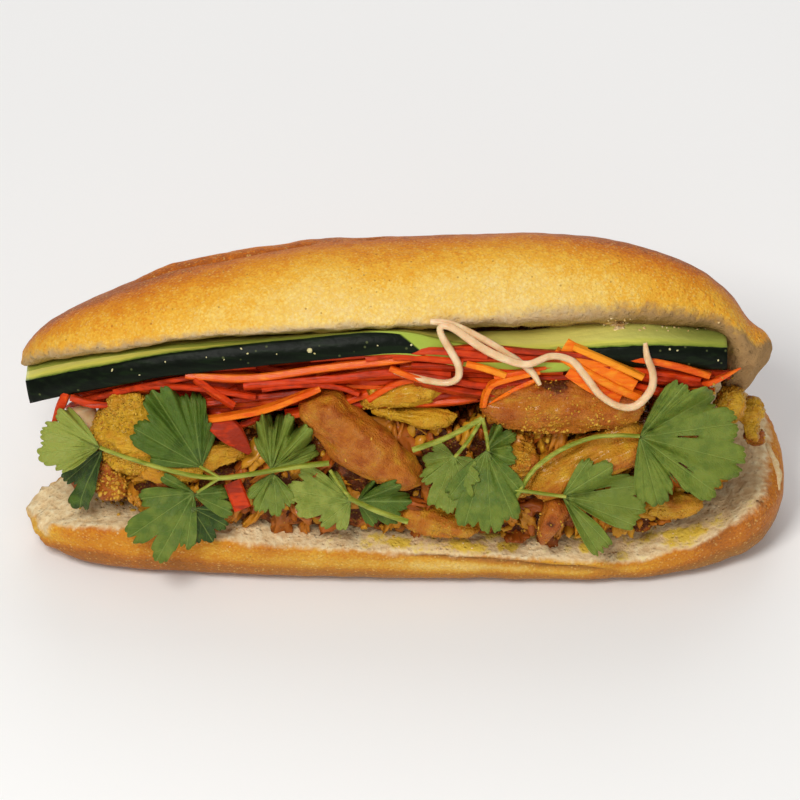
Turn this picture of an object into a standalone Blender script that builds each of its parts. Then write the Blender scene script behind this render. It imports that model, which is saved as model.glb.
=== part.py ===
"""Banh mi sandwich: one hinged roll lying on its base, its mouth open to -Y and packed with filling.

The roll is a long loaf split along its front. Its lower half lies on the ground, its upper half is
folded back about the uncut crust along the back, and both ends are cut through, so their tips are free.
Sizes below are in millimetres. X runs along the roll, -Y is the open front, Z is up.
The origin is at the middle of the box that holds the whole sandwich, on the ground.
"""
import math

import bmesh
import bpy
from mathutils import Matrix, Vector, noise

MM = 0.001

# Roll
ROLL_LEFT = 124.0          # middle to left tip
ROLL_RIGHT = 125.0         # middle to right tip of the lower half
LID_RIGHT = 121.5          # middle to right tip of the upper half
HALF_WIDTH = 42.5          # half the depth of each half from front to back
HINGE_Y = 39.0             # where the cut ends, in front of the back crust
HINGE_Z = 34.6
CUT_DEPTH = 80.0           # from the lip to the hinge
LID_TILT = math.radians(52.5)
LID_THICKNESS = 33.5
CRUMB_HOLLOW = 4.0         # how far the filling has pressed the crumb in
HINGE_RADIUS = 6.5
HINGE_HALF_LENGTH = 84.0
END_WALL = 107.5           # where the upper half is no longer cut through, at its right tip
CENTRE_X = 0.5             # the box's middle, measured from the roll's own middle
CENTRE_Y = 7.55
TORN_AWAY = 0.85           # share of the depth behind the middle that is gone at the left tip
FLOOR_PATCH = 1.08         # how far the round underside is pressed past the ground, as a factor

# Front rim of the lower half and lip of the upper half, as (x, height) stops along the roll
RIM_HEIGHT = ((-124, 16.0), (-116, 21.0), (-88, 24.0), (-40, 20.0), (0, 17.3), (52, 13.7), (80, 13.5),
              (108, 21.0), (117, 26.0), (125, 29.0))
BACK_HEIGHT = ((-124, 17.0), (-96, 30.0), (-60, 34.6), (60, 34.6), (100, 32.0), (125, 29.0))
UNDER_LIFT = ((-124, 8.0), (-117, 2.5), (-100, 0.0), (98, 0.0), (114, 2.0), (125, 7.0))
LIP_RISE = ((-124, -14.0), (-112, -10.0), (-95, -7.0), (-75, -4.4), (-27, -1.2), (6, 0.5), (32, 2.9),
            (72, 6.6), (98, 5.8), (112, 0.0), (121.5, -4.0))
ROLL_BEND = ((-124, -11.0), (-100, -5.0), (-60, 0.0), (80, 0.0), (125, -2.0))

# Mouth: the plane from the rim to the lip
RIM_Y = -39.1
RIM_Z = 17.3
MOUTH_TILT = math.radians(20.0)     # leans back from upright

# Filling
GAP = 0.45                 # clearance cut between touching pieces
SLICE_THICKNESS = 7.6      # cucumber
SLICE_DEPTH = 20.0
STRIP_SIZE = 2.6           # daikon strips

PARTS = {}


# ---------------------------------------------------------------- helpers

def along(stops, x):
    """Smooth curve through (x, value) stops, level beyond the first and last."""
    if x <= stops[0][0]:
        return stops[0][1]
    if x >= stops[-1][0]:
        return stops[-1][1]
    i = next(k for k in range(len(stops) - 1) if x < stops[k + 1][0])
    before, a, b, after = (stops[min(max(k, 0), len(stops) - 1)] for k in (i - 1, i, i + 1, i + 2))
    span = b[0] - a[0]
    slope_a = (b[1] - before[1]) / (b[0] - before[0]) * span
    slope_b = (after[1] - a[1]) / (after[0] - a[0]) * span
    t = (x - a[0]) / span
    return ((2 * t**3 - 3 * t**2 + 1) * a[1] + (t**3 - 2 * t**2 + t) * slope_a
            + (3 * t**2 - 2 * t**3) * b[1] + (t**3 - t**2) * slope_b)


def step(low, high, x):
    """0 below low, 1 above high, eased in between."""
    t = min(max((x - low) / (high - low), 0.0), 1.0)
    return t * t * (3 - 2 * t)


def taper(x, left, right, blunt_left, blunt_right, round_off):
    """1 at the middle of the roll, 0 at its tips."""
    half, blunt = (left, blunt_left) if x < 0 else (right, blunt_right)
    return max(0.0, 1 - abs(x / half) ** blunt) ** (1 / round_off)


def unevenness(x, y, z, size, height, layer=0.0):
    """Gentle bumps about `size` across and `height` high."""
    return height * noise.noise(Vector((x / size + layer, y / size, z / size)))


def signed_power(value, exponent):
    return math.copysign(abs(value) ** exponent, value)


def mouth_point(x, up, out):
    """A point given along the roll, up the mouth from the rim, and out in front of the mouth."""
    lean = (math.sin(MOUTH_TILT), math.cos(MOUTH_TILT))
    return Vector((x, RIM_Y + up * lean[0] - out * lean[1], RIM_Z + up * lean[1] + out * lean[0]))


def material(name, colour, roughness):
    made = bpy.data.materials.new(name)
    made.use_nodes = True
    shader = made.node_tree.nodes["Principled BSDF"]
    shader.inputs["Base Color"].default_value = (*colour, 1.0)
    shader.inputs["Roughness"].default_value = roughness
    shader.inputs["Metallic"].default_value = 0.0
    return made


def place(name, mesh_tools, look):
    """Turn a bmesh in millimetres into a named object in metres."""
    bmesh.ops.triangulate(mesh_tools, faces=mesh_tools.faces)
    bmesh.ops.recalc_face_normals(mesh_tools, faces=mesh_tools.faces)
    bmesh.ops.translate(mesh_tools, vec=(-CENTRE_X, -CENTRE_Y, 0.0), verts=mesh_tools.verts)
    bmesh.ops.scale(mesh_tools, vec=(MM, MM, MM), verts=mesh_tools.verts)
    mesh = bpy.data.meshes.new(name)
    mesh_tools.to_mesh(mesh)
    mesh_tools.free()
    mesh.shade_smooth()
    thing = bpy.data.objects.new(name, mesh)
    bpy.context.collection.objects.link(thing)
    if look is not None:
        mesh.materials.append(look)
    return thing


def loft(rings, start=None, end=None):
    """Skin a row of closed rings and close both ends with a fan to a point."""
    skin = bmesh.new()
    rows = [[skin.verts.new(p) for p in ring] for ring in rings]
    count = len(rows[0])
    for a, b in zip(rows, rows[1:]):
        for k in range(count):
            skin.faces.new((a[k], a[(k + 1) % count], b[(k + 1) % count], b[k]))
    for row, tip in ((rows[0], start), (rows[-1], end)):
        centre = tip or sum((v.co for v in row), Vector()) / count
        point = skin.verts.new(centre)
        for k in range(count):
            skin.faces.new((row[k], row[(k + 1) % count], point))
    return skin


def as_cutter(thing):
    """Keep an object as a guide that is never part of the sandwich."""
    thing.hide_render = True
    thing.display_type = "WIRE"
    thing.hide_set(True)


def combine(thing, other, operation):
    change = thing.modifiers.new(operation.title() + " " + other.name, "BOOLEAN")
    change.operation = operation
    change.solver = "EXACT"
    change.object = other


def swollen(thing, amount):
    """A copy of a piece with its skin pushed out, used to leave room for it in its neighbours."""
    shape = bmesh.new()
    shape.from_object(thing, bpy.context.evaluated_depsgraph_get())
    shape.normal_update()
    for v, normal in [(v, v.normal.copy()) for v in shape.verts]:
        v.co += normal * amount * MM
    mesh = bpy.data.meshes.new("room_for_" + thing.name)
    shape.to_mesh(mesh)
    shape.free()
    copy = bpy.data.objects.new(mesh.name, mesh)
    bpy.context.collection.objects.link(copy)
    as_cutter(copy)
    return copy


def boxes_meet(a, b, margin):
    """Whether two objects' boxes come within a margin of each other."""
    def span(thing, axis):
        values = [corner[axis] for corner in thing.bound_box]
        return min(values) - margin * MM, max(values) + margin * MM
    return all(span(a, k)[0] < span(b, k)[1] and span(b, k)[0] < span(a, k)[1] for k in range(3))


# ---------------------------------------------------------------- roll

def stations(left, right, count):
    """Places along the roll, closer together towards its tips."""
    places = []
    for k in range(1, count):
        turn = -math.cos(math.pi * k / count)
        places.append(turn * (left if turn < 0 else right))
    return places


def base_width(x):
    return HALF_WIDTH * taper(x, ROLL_LEFT, ROLL_RIGHT, 3.0, 5.5, 2.2)


def base_back_width(x):
    """Half the depth behind the middle: the left tip is torn, and little of its back is left."""
    return base_width(x) * (1 - TORN_AWAY * step(94, 116, -x))


def base_top(x, y):
    """Height of the lower half's cut crumb."""
    width = max(base_width(x), 1.0)
    middle = 1.5 + along(ROLL_BEND, x)
    back = min(max((y - middle) / width * 0.5 + 0.5, 0.0), 1.0)
    line = along(RIM_HEIGHT, x) * (1 - back) + along(BACK_HEIGHT, x) * back
    hollow = CRUMB_HOLLOW * math.sin(math.pi * back) ** 0.8 * (width / HALF_WIDTH)
    return line - hollow


def base_ring(x):
    """Section of the lower half: the crust from the front rim round to the back, then the crumb."""
    width = base_width(x)
    tall = 1 - (1 - taper(x, ROLL_LEFT, ROLL_RIGHT, 14.0, 16.0, 2.0)) * step(85, 108, abs(x))
    middle = 1.5 + along(ROLL_BEND, x)
    rim, back, lift = along(RIM_HEIGHT, x), along(BACK_HEIGHT, x), along(UNDER_LIFT, x)
    centre = 0.5 * (rim + lift)
    ring = []
    for k in range(17):
        turn = math.pi * k / 16
        across = signed_power(math.cos(turn), 0.57)
        down = math.sin(turn) ** 0.57
        edge = rim * (1 + across) / 2 + back * (1 - across) / 2
        tuck = 3.4 * max(0.0, math.cos(turn)) ** 6 * (width / HALF_WIDTH)
        y = middle - across * (width if across > 0 else base_back_width(x)) + tuck
        z = edge - (edge - lift) * down * FLOOR_PATCH
        z += unevenness(x, y, z, 26.0, 0.8) * down * (1 - down)
        ring.append((x, y, max(z, lift if lift > 0.4 else 0.0)))
    front_y, back_y = ring[0][1], ring[-1][1]
    for k in range(1, 8):
        y = back_y + (front_y - back_y) * k / 8
        ring.append((x, y, base_top(x, y) + unevenness(x, y, 0.0, 14.0, 0.7, 3.0)))
    return [Vector((p[0], p[1], centre + (p[2] - centre) * tall)) for p in ring]


def lid_width(x):
    return HALF_WIDTH * taper(x, ROLL_LEFT, LID_RIGHT, 3.0, 3.2, 2.2)


def lid_thickness(x):
    return LID_THICKNESS * taper(x, ROLL_LEFT, LID_RIGHT, 2.1, 2.4, 1.6)


def lid_under(x, u):
    """How far the upper half's cut crumb lies above the flat cut, u being the way out from the hinge."""
    width = max(lid_width(x), 1.0)
    near_lip = max(u, 0.0) / CUT_DEPTH
    lift = along(LIP_RISE, x) * (near_lip ** 1.4 if abs(x) < 100 else near_lip ** 0.7)
    across = min(max((u - CUT_DEPTH / 2) / width, -1.0), 1.0)
    hollow = CRUMB_HOLLOW * (1 - across**2) * (width / HALF_WIDTH)
    end_wall = 15.0 * step(END_WALL, END_WALL + 3.0, x) * (1 - across**2) * (width / HALF_WIDTH) ** 0.5
    return lift + hollow - end_wall


def lid_point(x, u, v):
    """From the upper half's own frame, out from the hinge and away from the cut, to the sandwich's."""
    y = HINGE_Y - u * math.cos(LID_TILT) + v * math.sin(LID_TILT)
    return Vector((x, y, HINGE_Z + u * math.sin(LID_TILT) + v * math.cos(LID_TILT)))


def score_ridge(x, around):
    """The baker's slash along the left of the crown, a low ridge with a groove behind it."""
    length = step(-92, -70, x) * (1 - step(-28, -8, x))
    place_round = math.radians(92) + (x + 50) * 0.004
    ridge = math.exp(-((around - place_round) / 0.11) ** 2)
    groove = math.exp(-((around - place_round - 0.3) / 0.14) ** 2)
    return length * (1.8 * ridge - 1.6 * groove)


def lid_ring(x):
    """Section of the upper half: the crust from the lip over the crown to the back, then the crumb."""
    width, thick = lid_width(x), lid_thickness(x)
    lift_front = along(LIP_RISE, x) * (1.0 if abs(x) < 100 else 0.9)
    ring = []
    for k in range(19):
        turn = math.pi * k / 18
        across = signed_power(math.cos(turn), 0.85)
        u = CUT_DEPTH / 2 + across * width
        lift = lift_front * max(0.0, min(1.0, u / CUT_DEPTH)) ** 1.2
        v = lift + thick * math.sin(turn) ** 0.85
        v += unevenness(x, u, v, 24.0, 0.9, 7.0) * math.sin(turn) + score_ridge(x, turn)
        ring.append(lid_point(x, u, v))
    for k in range(1, 8):
        u = CUT_DEPTH / 2 + width * (2 * k / 8 - 1)
        rough = unevenness(x, u, 0.0, 13.0, 0.8, 11.0)
        blend = math.sin(math.pi * k / 8) ** 0.5
        edge = lift_front * max(0.0, u / CUT_DEPTH) ** 1.2
        ring.append(lid_point(x, u, edge + (lid_under(x, u) - edge + rough) * blend))
    return ring


def hinge_ring(x):
    """Section of the uncut crust that joins the back edges of the two halves."""
    size = HINGE_RADIUS * taper(x, HINGE_HALF_LENGTH, HINGE_HALF_LENGTH, 6.0, 6.0, 2.0)
    base_edge = Vector((x, 1.5 + along(ROLL_BEND, x) + base_width(x), along(BACK_HEIGHT, x)))
    lid_edge = lid_point(x, CUT_DEPTH / 2 - lid_width(x), 0.0)
    middle = base_edge.lerp(lid_edge, 0.5) - Vector((0.0, 2.0, 0.0))
    turns = [2 * math.pi * k / 12 for k in range(12)]
    return [middle + Vector((0.0, size * math.cos(t), size * math.sin(t))) for t in turns]


def make_bread():
    look = material("bread_crust", (0.74, 0.42, 0.13), 0.62)
    base = place("bread", loft([base_ring(x) for x in stations(ROLL_LEFT, ROLL_RIGHT, 28)],
                               Vector((-ROLL_LEFT, along(ROLL_BEND, -124) + 1.5, 12.5)),
                               Vector((ROLL_RIGHT, along(ROLL_BEND, 125) + 1.5, 20.0))), look)
    lid_places = sorted(stations(ROLL_LEFT, LID_RIGHT, 31) + [END_WALL, END_WALL + 3.0])
    lid = place("upper_half", loft([lid_ring(x) for x in lid_places],
                                   lid_point(-ROLL_LEFT, CUT_DEPTH / 2, -9.0),
                                   lid_point(LID_RIGHT, CUT_DEPTH / 2, -2.5)), None)
    hinge_places = stations(HINGE_HALF_LENGTH, HINGE_HALF_LENGTH, 15)
    hinge = place("hinge_crust", loft([hinge_ring(x) for x in hinge_places]), None)
    for half in (lid, hinge):
        as_cutter(half)
        combine(base, half, "UNION")
    PARTS["bread"] = base


# ---------------------------------------------------------------- cucumber

SLICE_EDGE = ((-122.5, 59.5, -11.5), (-99, 69.3, -1.5), (-73, 76.0, 2.0), (-27, 82.3, 3.8), (0, 84.4, 4.1),
              (20, 79.2, 3.2), (45, 77.2, 3.5), (78, 79.2, 4.2), (106.5, 75.8, -1.8))
SLICE_TILT = ((-122.5, 35.0), (-60, 38.0), (0, 40.0), (30, 28.0), (70, 18.0), (106, 26.0))


def slice_ring(x, lean):
    """Section of the cucumber slice: flat cut faces, a rounded skin edge in front."""
    up = along([(s[0], s[1]) for s in SLICE_EDGE], x)
    out = along([(s[0], s[2]) for s in SLICE_EDGE], x)
    tilt = math.radians(along(SLICE_TILT, x))
    corner = mouth_point(x, up, out)
    back = Vector((0.0, math.cos(tilt), -math.sin(tilt)))
    top = Vector((0.0, math.sin(tilt), math.cos(tilt)))
    ring = [corner + back * SLICE_DEPTH * f for f in (0.0, 0.33, 0.67, 0.96)]
    ring.append(corner + back * SLICE_DEPTH - top * SLICE_THICKNESS * 0.5)
    ring += [corner + back * SLICE_DEPTH * f - top * SLICE_THICKNESS for f in (0.96, 0.67, 0.33, 0.0)]
    ring += [corner - back * 1.1 * math.sin(math.pi * f) - top * SLICE_THICKNESS * f for f in (0.75, 0.5, 0.25)]
    for point in ring:
        point.x += lean * (corner - point).dot(top)
    return ring


def make_cucumber():
    look = material("cucumber", (0.06, 0.13, 0.05), 0.35)
    left, right = SLICE_EDGE[0][0], SLICE_EDGE[-1][0]
    rings = [slice_ring(left + (right - left) * k / 20, 0.18 * (1 - k / 20)) for k in range(21)]
    PARTS["cucumber_slice"] = place("cucumber_slice", loft(rings), look)


# ---------------------------------------------------------------- chicken

# x, up, out, length, height, depth, roll in degrees, taper towards +x
# A piece further down the list makes room for the ones before it.
CHICKEN = (
    (-88.8, 42.5, -6.0, 24.0, 30.0, 19.0, 8.0, 0.0),
    (-76.0, 33.5, -4.0, 24.0, 12.0, 13.0, -6.0, 0.2),
    (-96.0, 26.0, -8.0, 13.0, 16.0, 12.0, 0.0, 0.0),
    (-60.5, 36.5, -4.0, 19.0, 11.0, 12.0, 5.0, 0.1),
    (-13.8, 42.6, 1.5, 47.0, 17.5, 16.0, -38.0, 0.15),
    (-4.0, 58.0, -3.5, 21.0, 8.5, 11.0, 4.0, 0.0),
    (4.0, 51.0, -3.5, 22.0, 6.5, 9.0, -6.0, 0.1),
    (52.6, 56.5, -2.5, 51.0, 20.0, 19.0, -3.0, 0.1),
    (48.5, 13.5, -0.5, 19.0, 9.5, 9.0, 68.0, -0.35),
    (62.5, 34.0, -3.5, 45.0, 18.0, 16.0, 28.0, 0.1),
    (37.5, 33.0, -2.0, 15.0, 23.0, 14.0, 0.0, 0.0),
    (13.0, 11.5, -6.0, 27.0, 8.0, 9.0, -16.0, 0.0),
    (89.0, 16.0, -7.0, 21.0, 8.0, 9.0, 4.0, 0.1),
    (108.0, 47.5, -17.0, 9.5, 12.0, 9.0, 0.0, 0.0),
    (115.5, 39.8, -25.0, 8.0, 16.0, 8.0, 6.0, 0.0),
    (117.5, 29.5, -31.0, 7.0, 6.5, 7.0, 0.0, 0.0),
)
SMALL_PIECE = 16.0         # pieces shorter than this need fewer faces


def chunk(length, height, depth, narrowing, seed):
    """A torn lump of cooked meat: a squarish rounded lump, lopsided and dented."""
    shape = bmesh.new()
    segments, rows = (8, 5) if length < SMALL_PIECE else (10, 7)
    bmesh.ops.create_uvsphere(shape, u_segments=segments, v_segments=rows, radius=1.0,
                              matrix=Matrix.Rotation(math.pi / 2, 4, "Y"))
    for v in shape.verts:
        d = v.co.copy()
        dent = 1 + 0.20 * noise.noise(d * 1.4 + Vector((seed * 3.7, seed, 0.0)))
        squared = Vector([signed_power(c, 0.86) for c in d]) * dent
        slim = 1 - narrowing * squared.x
        v.co = Vector((squared.x * length / 2, squared.y * depth / 2 * slim, squared.z * height / 2 * slim))
    return shape


def lay_in_mouth(shape, x, up, out, roll):
    """Turn a shape by its roll in the plane of the mouth and set it down there."""
    turn = Matrix.Rotation(-MOUTH_TILT, 4, "X") @ Matrix.Rotation(-math.radians(roll), 4, "Y")
    bmesh.ops.transform(shape, matrix=Matrix.Translation(mouth_point(x, up, out)) @ turn, verts=shape.verts)


def make_chicken():
    look = material("chicken", (0.60, 0.32, 0.08), 0.45)
    for number, (x, up, out, length, height, depth, roll, narrowing) in enumerate(CHICKEN, 1):
        shape = chunk(length, height, depth, narrowing, number)
        lay_in_mouth(shape, x, up, out, roll)
        name = f"chicken_piece_{number:02d}"
        PARTS[name] = place(name, shape, look)


# ---------------------------------------------------------------- pickled daikon

# Routes as (x, up, out): the first strip hangs straight down from the lip, the second loops over it
STRIP_ROUTES = (
    ((9.2, 87.6, 3.2), (15.8, 86.8, 3.8), (25.7, 82.5, 5.0), (35.5, 76.8, 6.4), (42.1, 71.1, 6.1),
     (45.1, 66.2, 6.4)),
    ((-2.6, 70.3, 4.5), (5.9, 68.0, 5.2), (14.1, 66.8, 5.8), (18.1, 68.8, 6.5), (18.4, 73.5, 7.2),
     (15.8, 79.0, 7.2), (12.8, 84.2, 6.4), (12.7, 87.2, 6.4), (16.6, 86.9, 7.0), (25.7, 80.7, 8.4),
     (33.2, 77.1, 9.3), (40.8, 74.9, 9.0), (48.4, 76.9, 7.0), (54.3, 75.8, 6.6), (57.9, 72.6, 7.0),
     (61.5, 68.1, 8.6), (65.1, 63.8, 9.8), (71.1, 60.1, 9.8), (76.6, 60.0, 8.8), (81.3, 65.1, 7.8),
     (81.9, 70.8, 7.6), (79.9, 77.2, 7.8), (79.3, 81.8, 7.2)),
)
# x, up, out, length, height, depth, roll of the two flat cut slices at the ends
DAIKON_SLICES = (
    (-104.5, 41.5, -13.0, 9.0, 13.0, 3.5, 18.0),
    (102.5, 46.5, -14.0, 4.5, 6.0, 3.0, 0.0),
)


def smooth_route(stops, spacing):
    """Points about `spacing` apart on a smooth curve through the stops."""
    lengths = [0.0]
    for a, b in zip(stops, stops[1:]):
        lengths.append(lengths[-1] + (b - a).length)
    curves = [[(s, point[axis]) for s, point in zip(lengths, stops)] for axis in range(3)]
    count = round(lengths[-1] / spacing)
    return [Vector([along(c, lengths[-1] * k / count) for c in curves]) for k in range(count + 1)]


def sweep(route, size):
    """A strip of roundish section along a route, slimmer at both ends."""
    side = (route[1] - route[0]).cross(Vector((0.0, -1.0, 0.3))).normalized()
    rings = []
    for k, point in enumerate(route):
        ahead = (route[min(k + 1, len(route) - 1)] - route[max(k - 1, 0)]).normalized()
        side = (side - ahead * side.dot(ahead)).normalized()
        other = ahead.cross(side)
        radius = size / 2 * (0.72 if k in (0, len(route) - 1) else 1.0)
        turns = [2 * math.pi * (j + 0.5) / 6 for j in range(6)]
        rings.append([point + radius * (side * math.cos(t) + other * math.sin(t)) for t in turns])
    return loft(rings)


def make_daikon():
    look = material("daikon", (0.86, 0.78, 0.62), 0.30)
    for number, stops in enumerate(STRIP_ROUTES, 1):
        route = smooth_route([mouth_point(*stop) for stop in stops], 3.6)
        name = f"daikon_strip_{number}"
        PARTS[name] = place(name, sweep(route, STRIP_SIZE), look)
    for number, (x, up, out, length, height, depth, roll) in enumerate(DAIKON_SLICES, 1):
        shape = bmesh.new()
        bmesh.ops.create_cube(shape, size=1.0, matrix=Matrix.Diagonal((length, depth, height, 1.0)))
        bmesh.ops.bevel(shape, geom=shape.edges[:], offset=0.8, segments=1, affect="EDGES")
        lay_in_mouth(shape, x, up, out, roll)
        name = f"daikon_slice_{number}"
        PARTS[name] = place(name, shape, look)


# ---------------------------------------------------------------- chopped filling and carrot

def rim_y(x):
    """Front edge of the lower half's crumb."""
    width = base_width(x)
    return 1.5 + along(ROLL_BEND, x) - width + 3.4 * width / HALF_WIDTH


BED_LEFT, BED_RIGHT = -109.0, 110.0
BED_TOP = ((-109, 27.0), (-90, 36.0), (-50, 42.0), (0, 46.0), (60, 46.0), (98, 38.0), (110, 34.0))
BED_BACK = ((-109, 2.0), (-90, 18.0), (-60, 27.0), (60, 27.0), (95, 20.0), (110, 8.0))


def bed_ring(x):
    """Section of the chopped chicken that fills the roll behind the large pieces."""
    ends = taper(x, -BED_LEFT + 1, BED_RIGHT + 1, 8.0, 8.0, 2.0)
    back = along(BED_BACK, x)
    front = rim_y(x) + 7.5
    ring = []
    for k in range(8):
        y = back + (front - back) * k / 7
        ring.append(Vector((x, y, base_top(x, y) + 1.4)))
    high = mouth_point(x, along(BED_TOP, x), -6.5 - 12.0 * step(80, 110, abs(x)))
    low = ring[-1]
    for k in range(1, 6):
        f = k / 6
        point = low.lerp(high, f) + Vector((0.0, -4.5 * math.sin(math.pi * f), 0.0))
        point.y += unevenness(x, 0.0, point.z, 9.0, 2.4, 21.0)
        ring.append(point)
    rear = Vector((x, back, base_top(x, back) + 10.0))
    for k in range(6):
        point = high.lerp(rear, k / 5)
        point.z += unevenness(x, point.y, 0.0, 10.0, 1.6, 5.0) * (1 - k / 5)
        ring.append(point)
    middle = sum(ring, Vector()) / len(ring)
    return [Vector((x, *(middle + (p - middle) * ends).yz)) for p in ring]


CARROT_LEFT, CARROT_RIGHT = -114.0, 104.0
CARROT_LOW = ((-114, 45.0), (-95, 53.0), (-60, 47.0), (-20, 55.0), (10, 58.0), (50, 60.0), (104, 56.0))
CARROT_REACH = ((-114, -15.0), (-95, -5.0), (-60, 0.0), (0, 1.0), (60, 2.0), (90, -2.0), (104, -6.0))
CARROT_BACK = ((-114, 4.0), (-90, 14.0), (-60, 24.0), (60, 24.0), (90, 16.0), (104, 8.0))


def carrot_ring(x):
    """Section of the heap of carrot strips between the chicken and the cucumber."""
    ends = taper(x, -CARROT_LEFT + 1, CARROT_RIGHT + 1, 8.0, 8.0, 2.0)
    reach = along(CARROT_REACH, x)
    edge_up = along([(s[0], s[1]) for s in SLICE_EDGE], x)
    low = mouth_point(x, along(CARROT_LOW, x), reach - 2.0)
    high = mouth_point(x, edge_up - SLICE_THICKNESS - 0.5, reach - 1.5)
    back = along(CARROT_BACK, x)
    back_low = Vector((x, back, along(BACK_HEIGHT, x) + 12.0))
    back_high = back_low + Vector((0.0, -2.0, 6.0))
    ring = []
    for a, b, count, rough in ((low, high, 5, 2.6), (high, back_high, 5, 0.8), (back_high, back_low, 1, 0.0),
                               (back_low, low, 5, 1.2)):
        for k in range(count):
            point = a.lerp(b, k / count)
            point += Vector((0.0, -1.0, 0.3)) * unevenness(x, point.y, point.z, 7.0, rough, 31.0)
            ring.append(point)
    middle = sum(ring, Vector()) / len(ring)
    return [Vector((x, *(middle + (p - middle) * ends).yz)) for p in ring]


def make_heaps():
    bed = material("chopped_chicken", (0.52, 0.30, 0.07), 0.55)
    count = 20
    places = [BED_LEFT + (BED_RIGHT - BED_LEFT) * k / count for k in range(count + 1)]
    PARTS["chicken_filling"] = place("chicken_filling", loft([bed_ring(x) for x in places]), bed)
    carrot = material("carrot", (0.80, 0.16, 0.02), 0.35)
    places = [CARROT_LEFT + (CARROT_RIGHT - CARROT_LEFT) * k / count for k in range(count + 1)]
    PARTS["carrot_strips"] = place("carrot_strips", loft([carrot_ring(x) for x in places]), carrot)


# ---------------------------------------------------------------- fit

def make_room(name, others):
    """Cut a piece back where its neighbours press into it."""
    for other in others:
        if boxes_meet(PARTS[name], PARTS[other], GAP):
            combine(PARTS[name], ROOM[other], "DIFFERENCE")


def fit_together():
    """Whole pieces stay whole; softer and hidden ones take their dents."""
    pieces = [name for name in PARTS if name.startswith("chicken_piece")]
    slices = ["daikon_slice_1", "daikon_slice_2"]
    for name in pieces + slices + ["cucumber_slice"]:
        ROOM[name] = swollen(PARTS[name], GAP)
    for k, name in enumerate(pieces):
        make_room(name, pieces[:k])
    for name in slices:
        make_room(name, pieces)
    make_room("carrot_strips", pieces + slices + ["cucumber_slice"])
    make_room("chicken_filling", pieces + slices)


# ---------------------------------------------------------------- start

for old in list(bpy.data.objects):
    bpy.data.objects.remove(old, do_unlink=True)

ROOM = {}
make_bread()
make_cucumber()
make_chicken()
make_daikon()
make_heaps()
bpy.context.view_layer.update()
fit_together()
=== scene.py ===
# %% [markdown]
# # A banh mi sandwich
# A short crusty roll lies on its base with its mouth open towards the viewer. From the bottom up it
# holds chopped turmeric chicken, larger torn pieces of chicken, strips of pickled carrot, a few strips
# of pickled daikon, one long slice of cucumber, and sprigs of cilantro laid over the front.
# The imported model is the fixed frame: it says where each piece is and how big it is. This script
# builds the looks around it, piece by piece, without moving or resizing anything.

# %% Load the frame
import math
import random

import bmesh
import bpy
import numpy as np
from mathutils import Matrix, Vector, noise
from mathutils.bvhtree import BVHTree


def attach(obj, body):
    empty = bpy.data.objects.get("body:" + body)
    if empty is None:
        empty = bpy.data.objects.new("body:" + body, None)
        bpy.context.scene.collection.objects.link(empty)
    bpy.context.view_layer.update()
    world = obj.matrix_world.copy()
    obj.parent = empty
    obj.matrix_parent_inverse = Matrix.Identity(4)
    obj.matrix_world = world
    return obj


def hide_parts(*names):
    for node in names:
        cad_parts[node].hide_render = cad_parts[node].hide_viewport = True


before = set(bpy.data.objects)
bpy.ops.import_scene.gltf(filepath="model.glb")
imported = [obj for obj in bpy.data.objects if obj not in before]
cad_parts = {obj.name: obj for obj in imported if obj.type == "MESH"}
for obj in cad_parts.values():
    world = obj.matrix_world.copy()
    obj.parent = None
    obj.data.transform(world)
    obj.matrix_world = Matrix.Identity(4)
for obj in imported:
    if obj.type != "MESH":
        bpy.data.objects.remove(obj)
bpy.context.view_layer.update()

MM = 0.001

# %% [markdown]
# ## The roll's own measures
# The same few curves that shape the solid roll also say where its crust ends and its crumb begins, and
# where the filling lies. They are repeated here in millimetres, measured from the roll's own middle,
# which is a little off the middle of the whole sandwich.

# %% Measures shared with the solid model
CENTRE = Vector((0.5, 7.55, 0.0))       # the sandwich's middle, seen from the roll's own middle
ROLL_LEFT, ROLL_RIGHT, LID_RIGHT = 124.0, 125.0, 121.5
HALF_WIDTH, CUT_DEPTH, LID_THICKNESS = 42.5, 80.0, 33.5
HINGE_Y, HINGE_Z, LID_TILT = 39.0, 34.6, math.radians(52.5)
CRUMB_HOLLOW, RIM_TUCK = 4.0, 3.4
RIM_Y, RIM_Z, MOUTH_TILT = -39.1, 17.3, math.radians(20.0)
RIM_HEIGHT = ((-124, 16.0), (-116, 21.0), (-88, 24.0), (-40, 20.0), (0, 17.3), (52, 13.7), (80, 13.5),
              (108, 21.0), (117, 26.0), (125, 29.0))
BACK_HEIGHT = ((-124, 17.0), (-96, 30.0), (-60, 34.6), (60, 34.6), (100, 32.0), (125, 29.0))
LIP_RISE = ((-124, -14.0), (-112, -10.0), (-95, -7.0), (-75, -4.4), (-27, -1.2), (6, 0.5), (32, 2.9),
            (72, 6.6), (98, 5.8), (112, 0.0), (121.5, -4.0))
ROLL_BEND = ((-124, -11.0), (-100, -5.0), (-60, 0.0), (80, 0.0), (125, -2.0))
SLICE_EDGE = ((-124.0, 59.1, -12.0), (-99, 69.3, -1.5), (-73, 76.0, 2.0), (-27, 82.3, 3.8), (0, 84.4, 4.1),
              (20, 79.2, 3.2), (45, 77.2, 3.5), (78, 79.2, 4.2), (106.5, 75.8, -1.8))
SLICE_TILT = ((-124.0, 26.0), (-108, 23.0), (-88, 25.0), (-60, 34.0), (-30, 38.0), (0, 40.0), (30, 28.0),
              (70, 18.0), (106, 26.0))
SLICE_THICKNESS, SLICE_DEPTH = 7.6, 20.0
# A slope of 45 degrees meets the mouth's own tilt: stretch up it, share of what stands out, and the rim
SLOPE_STRETCH, SLOPE_SHARE, SLOPE_RIM = 1.1034, 0.4226, 15.41


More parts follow.
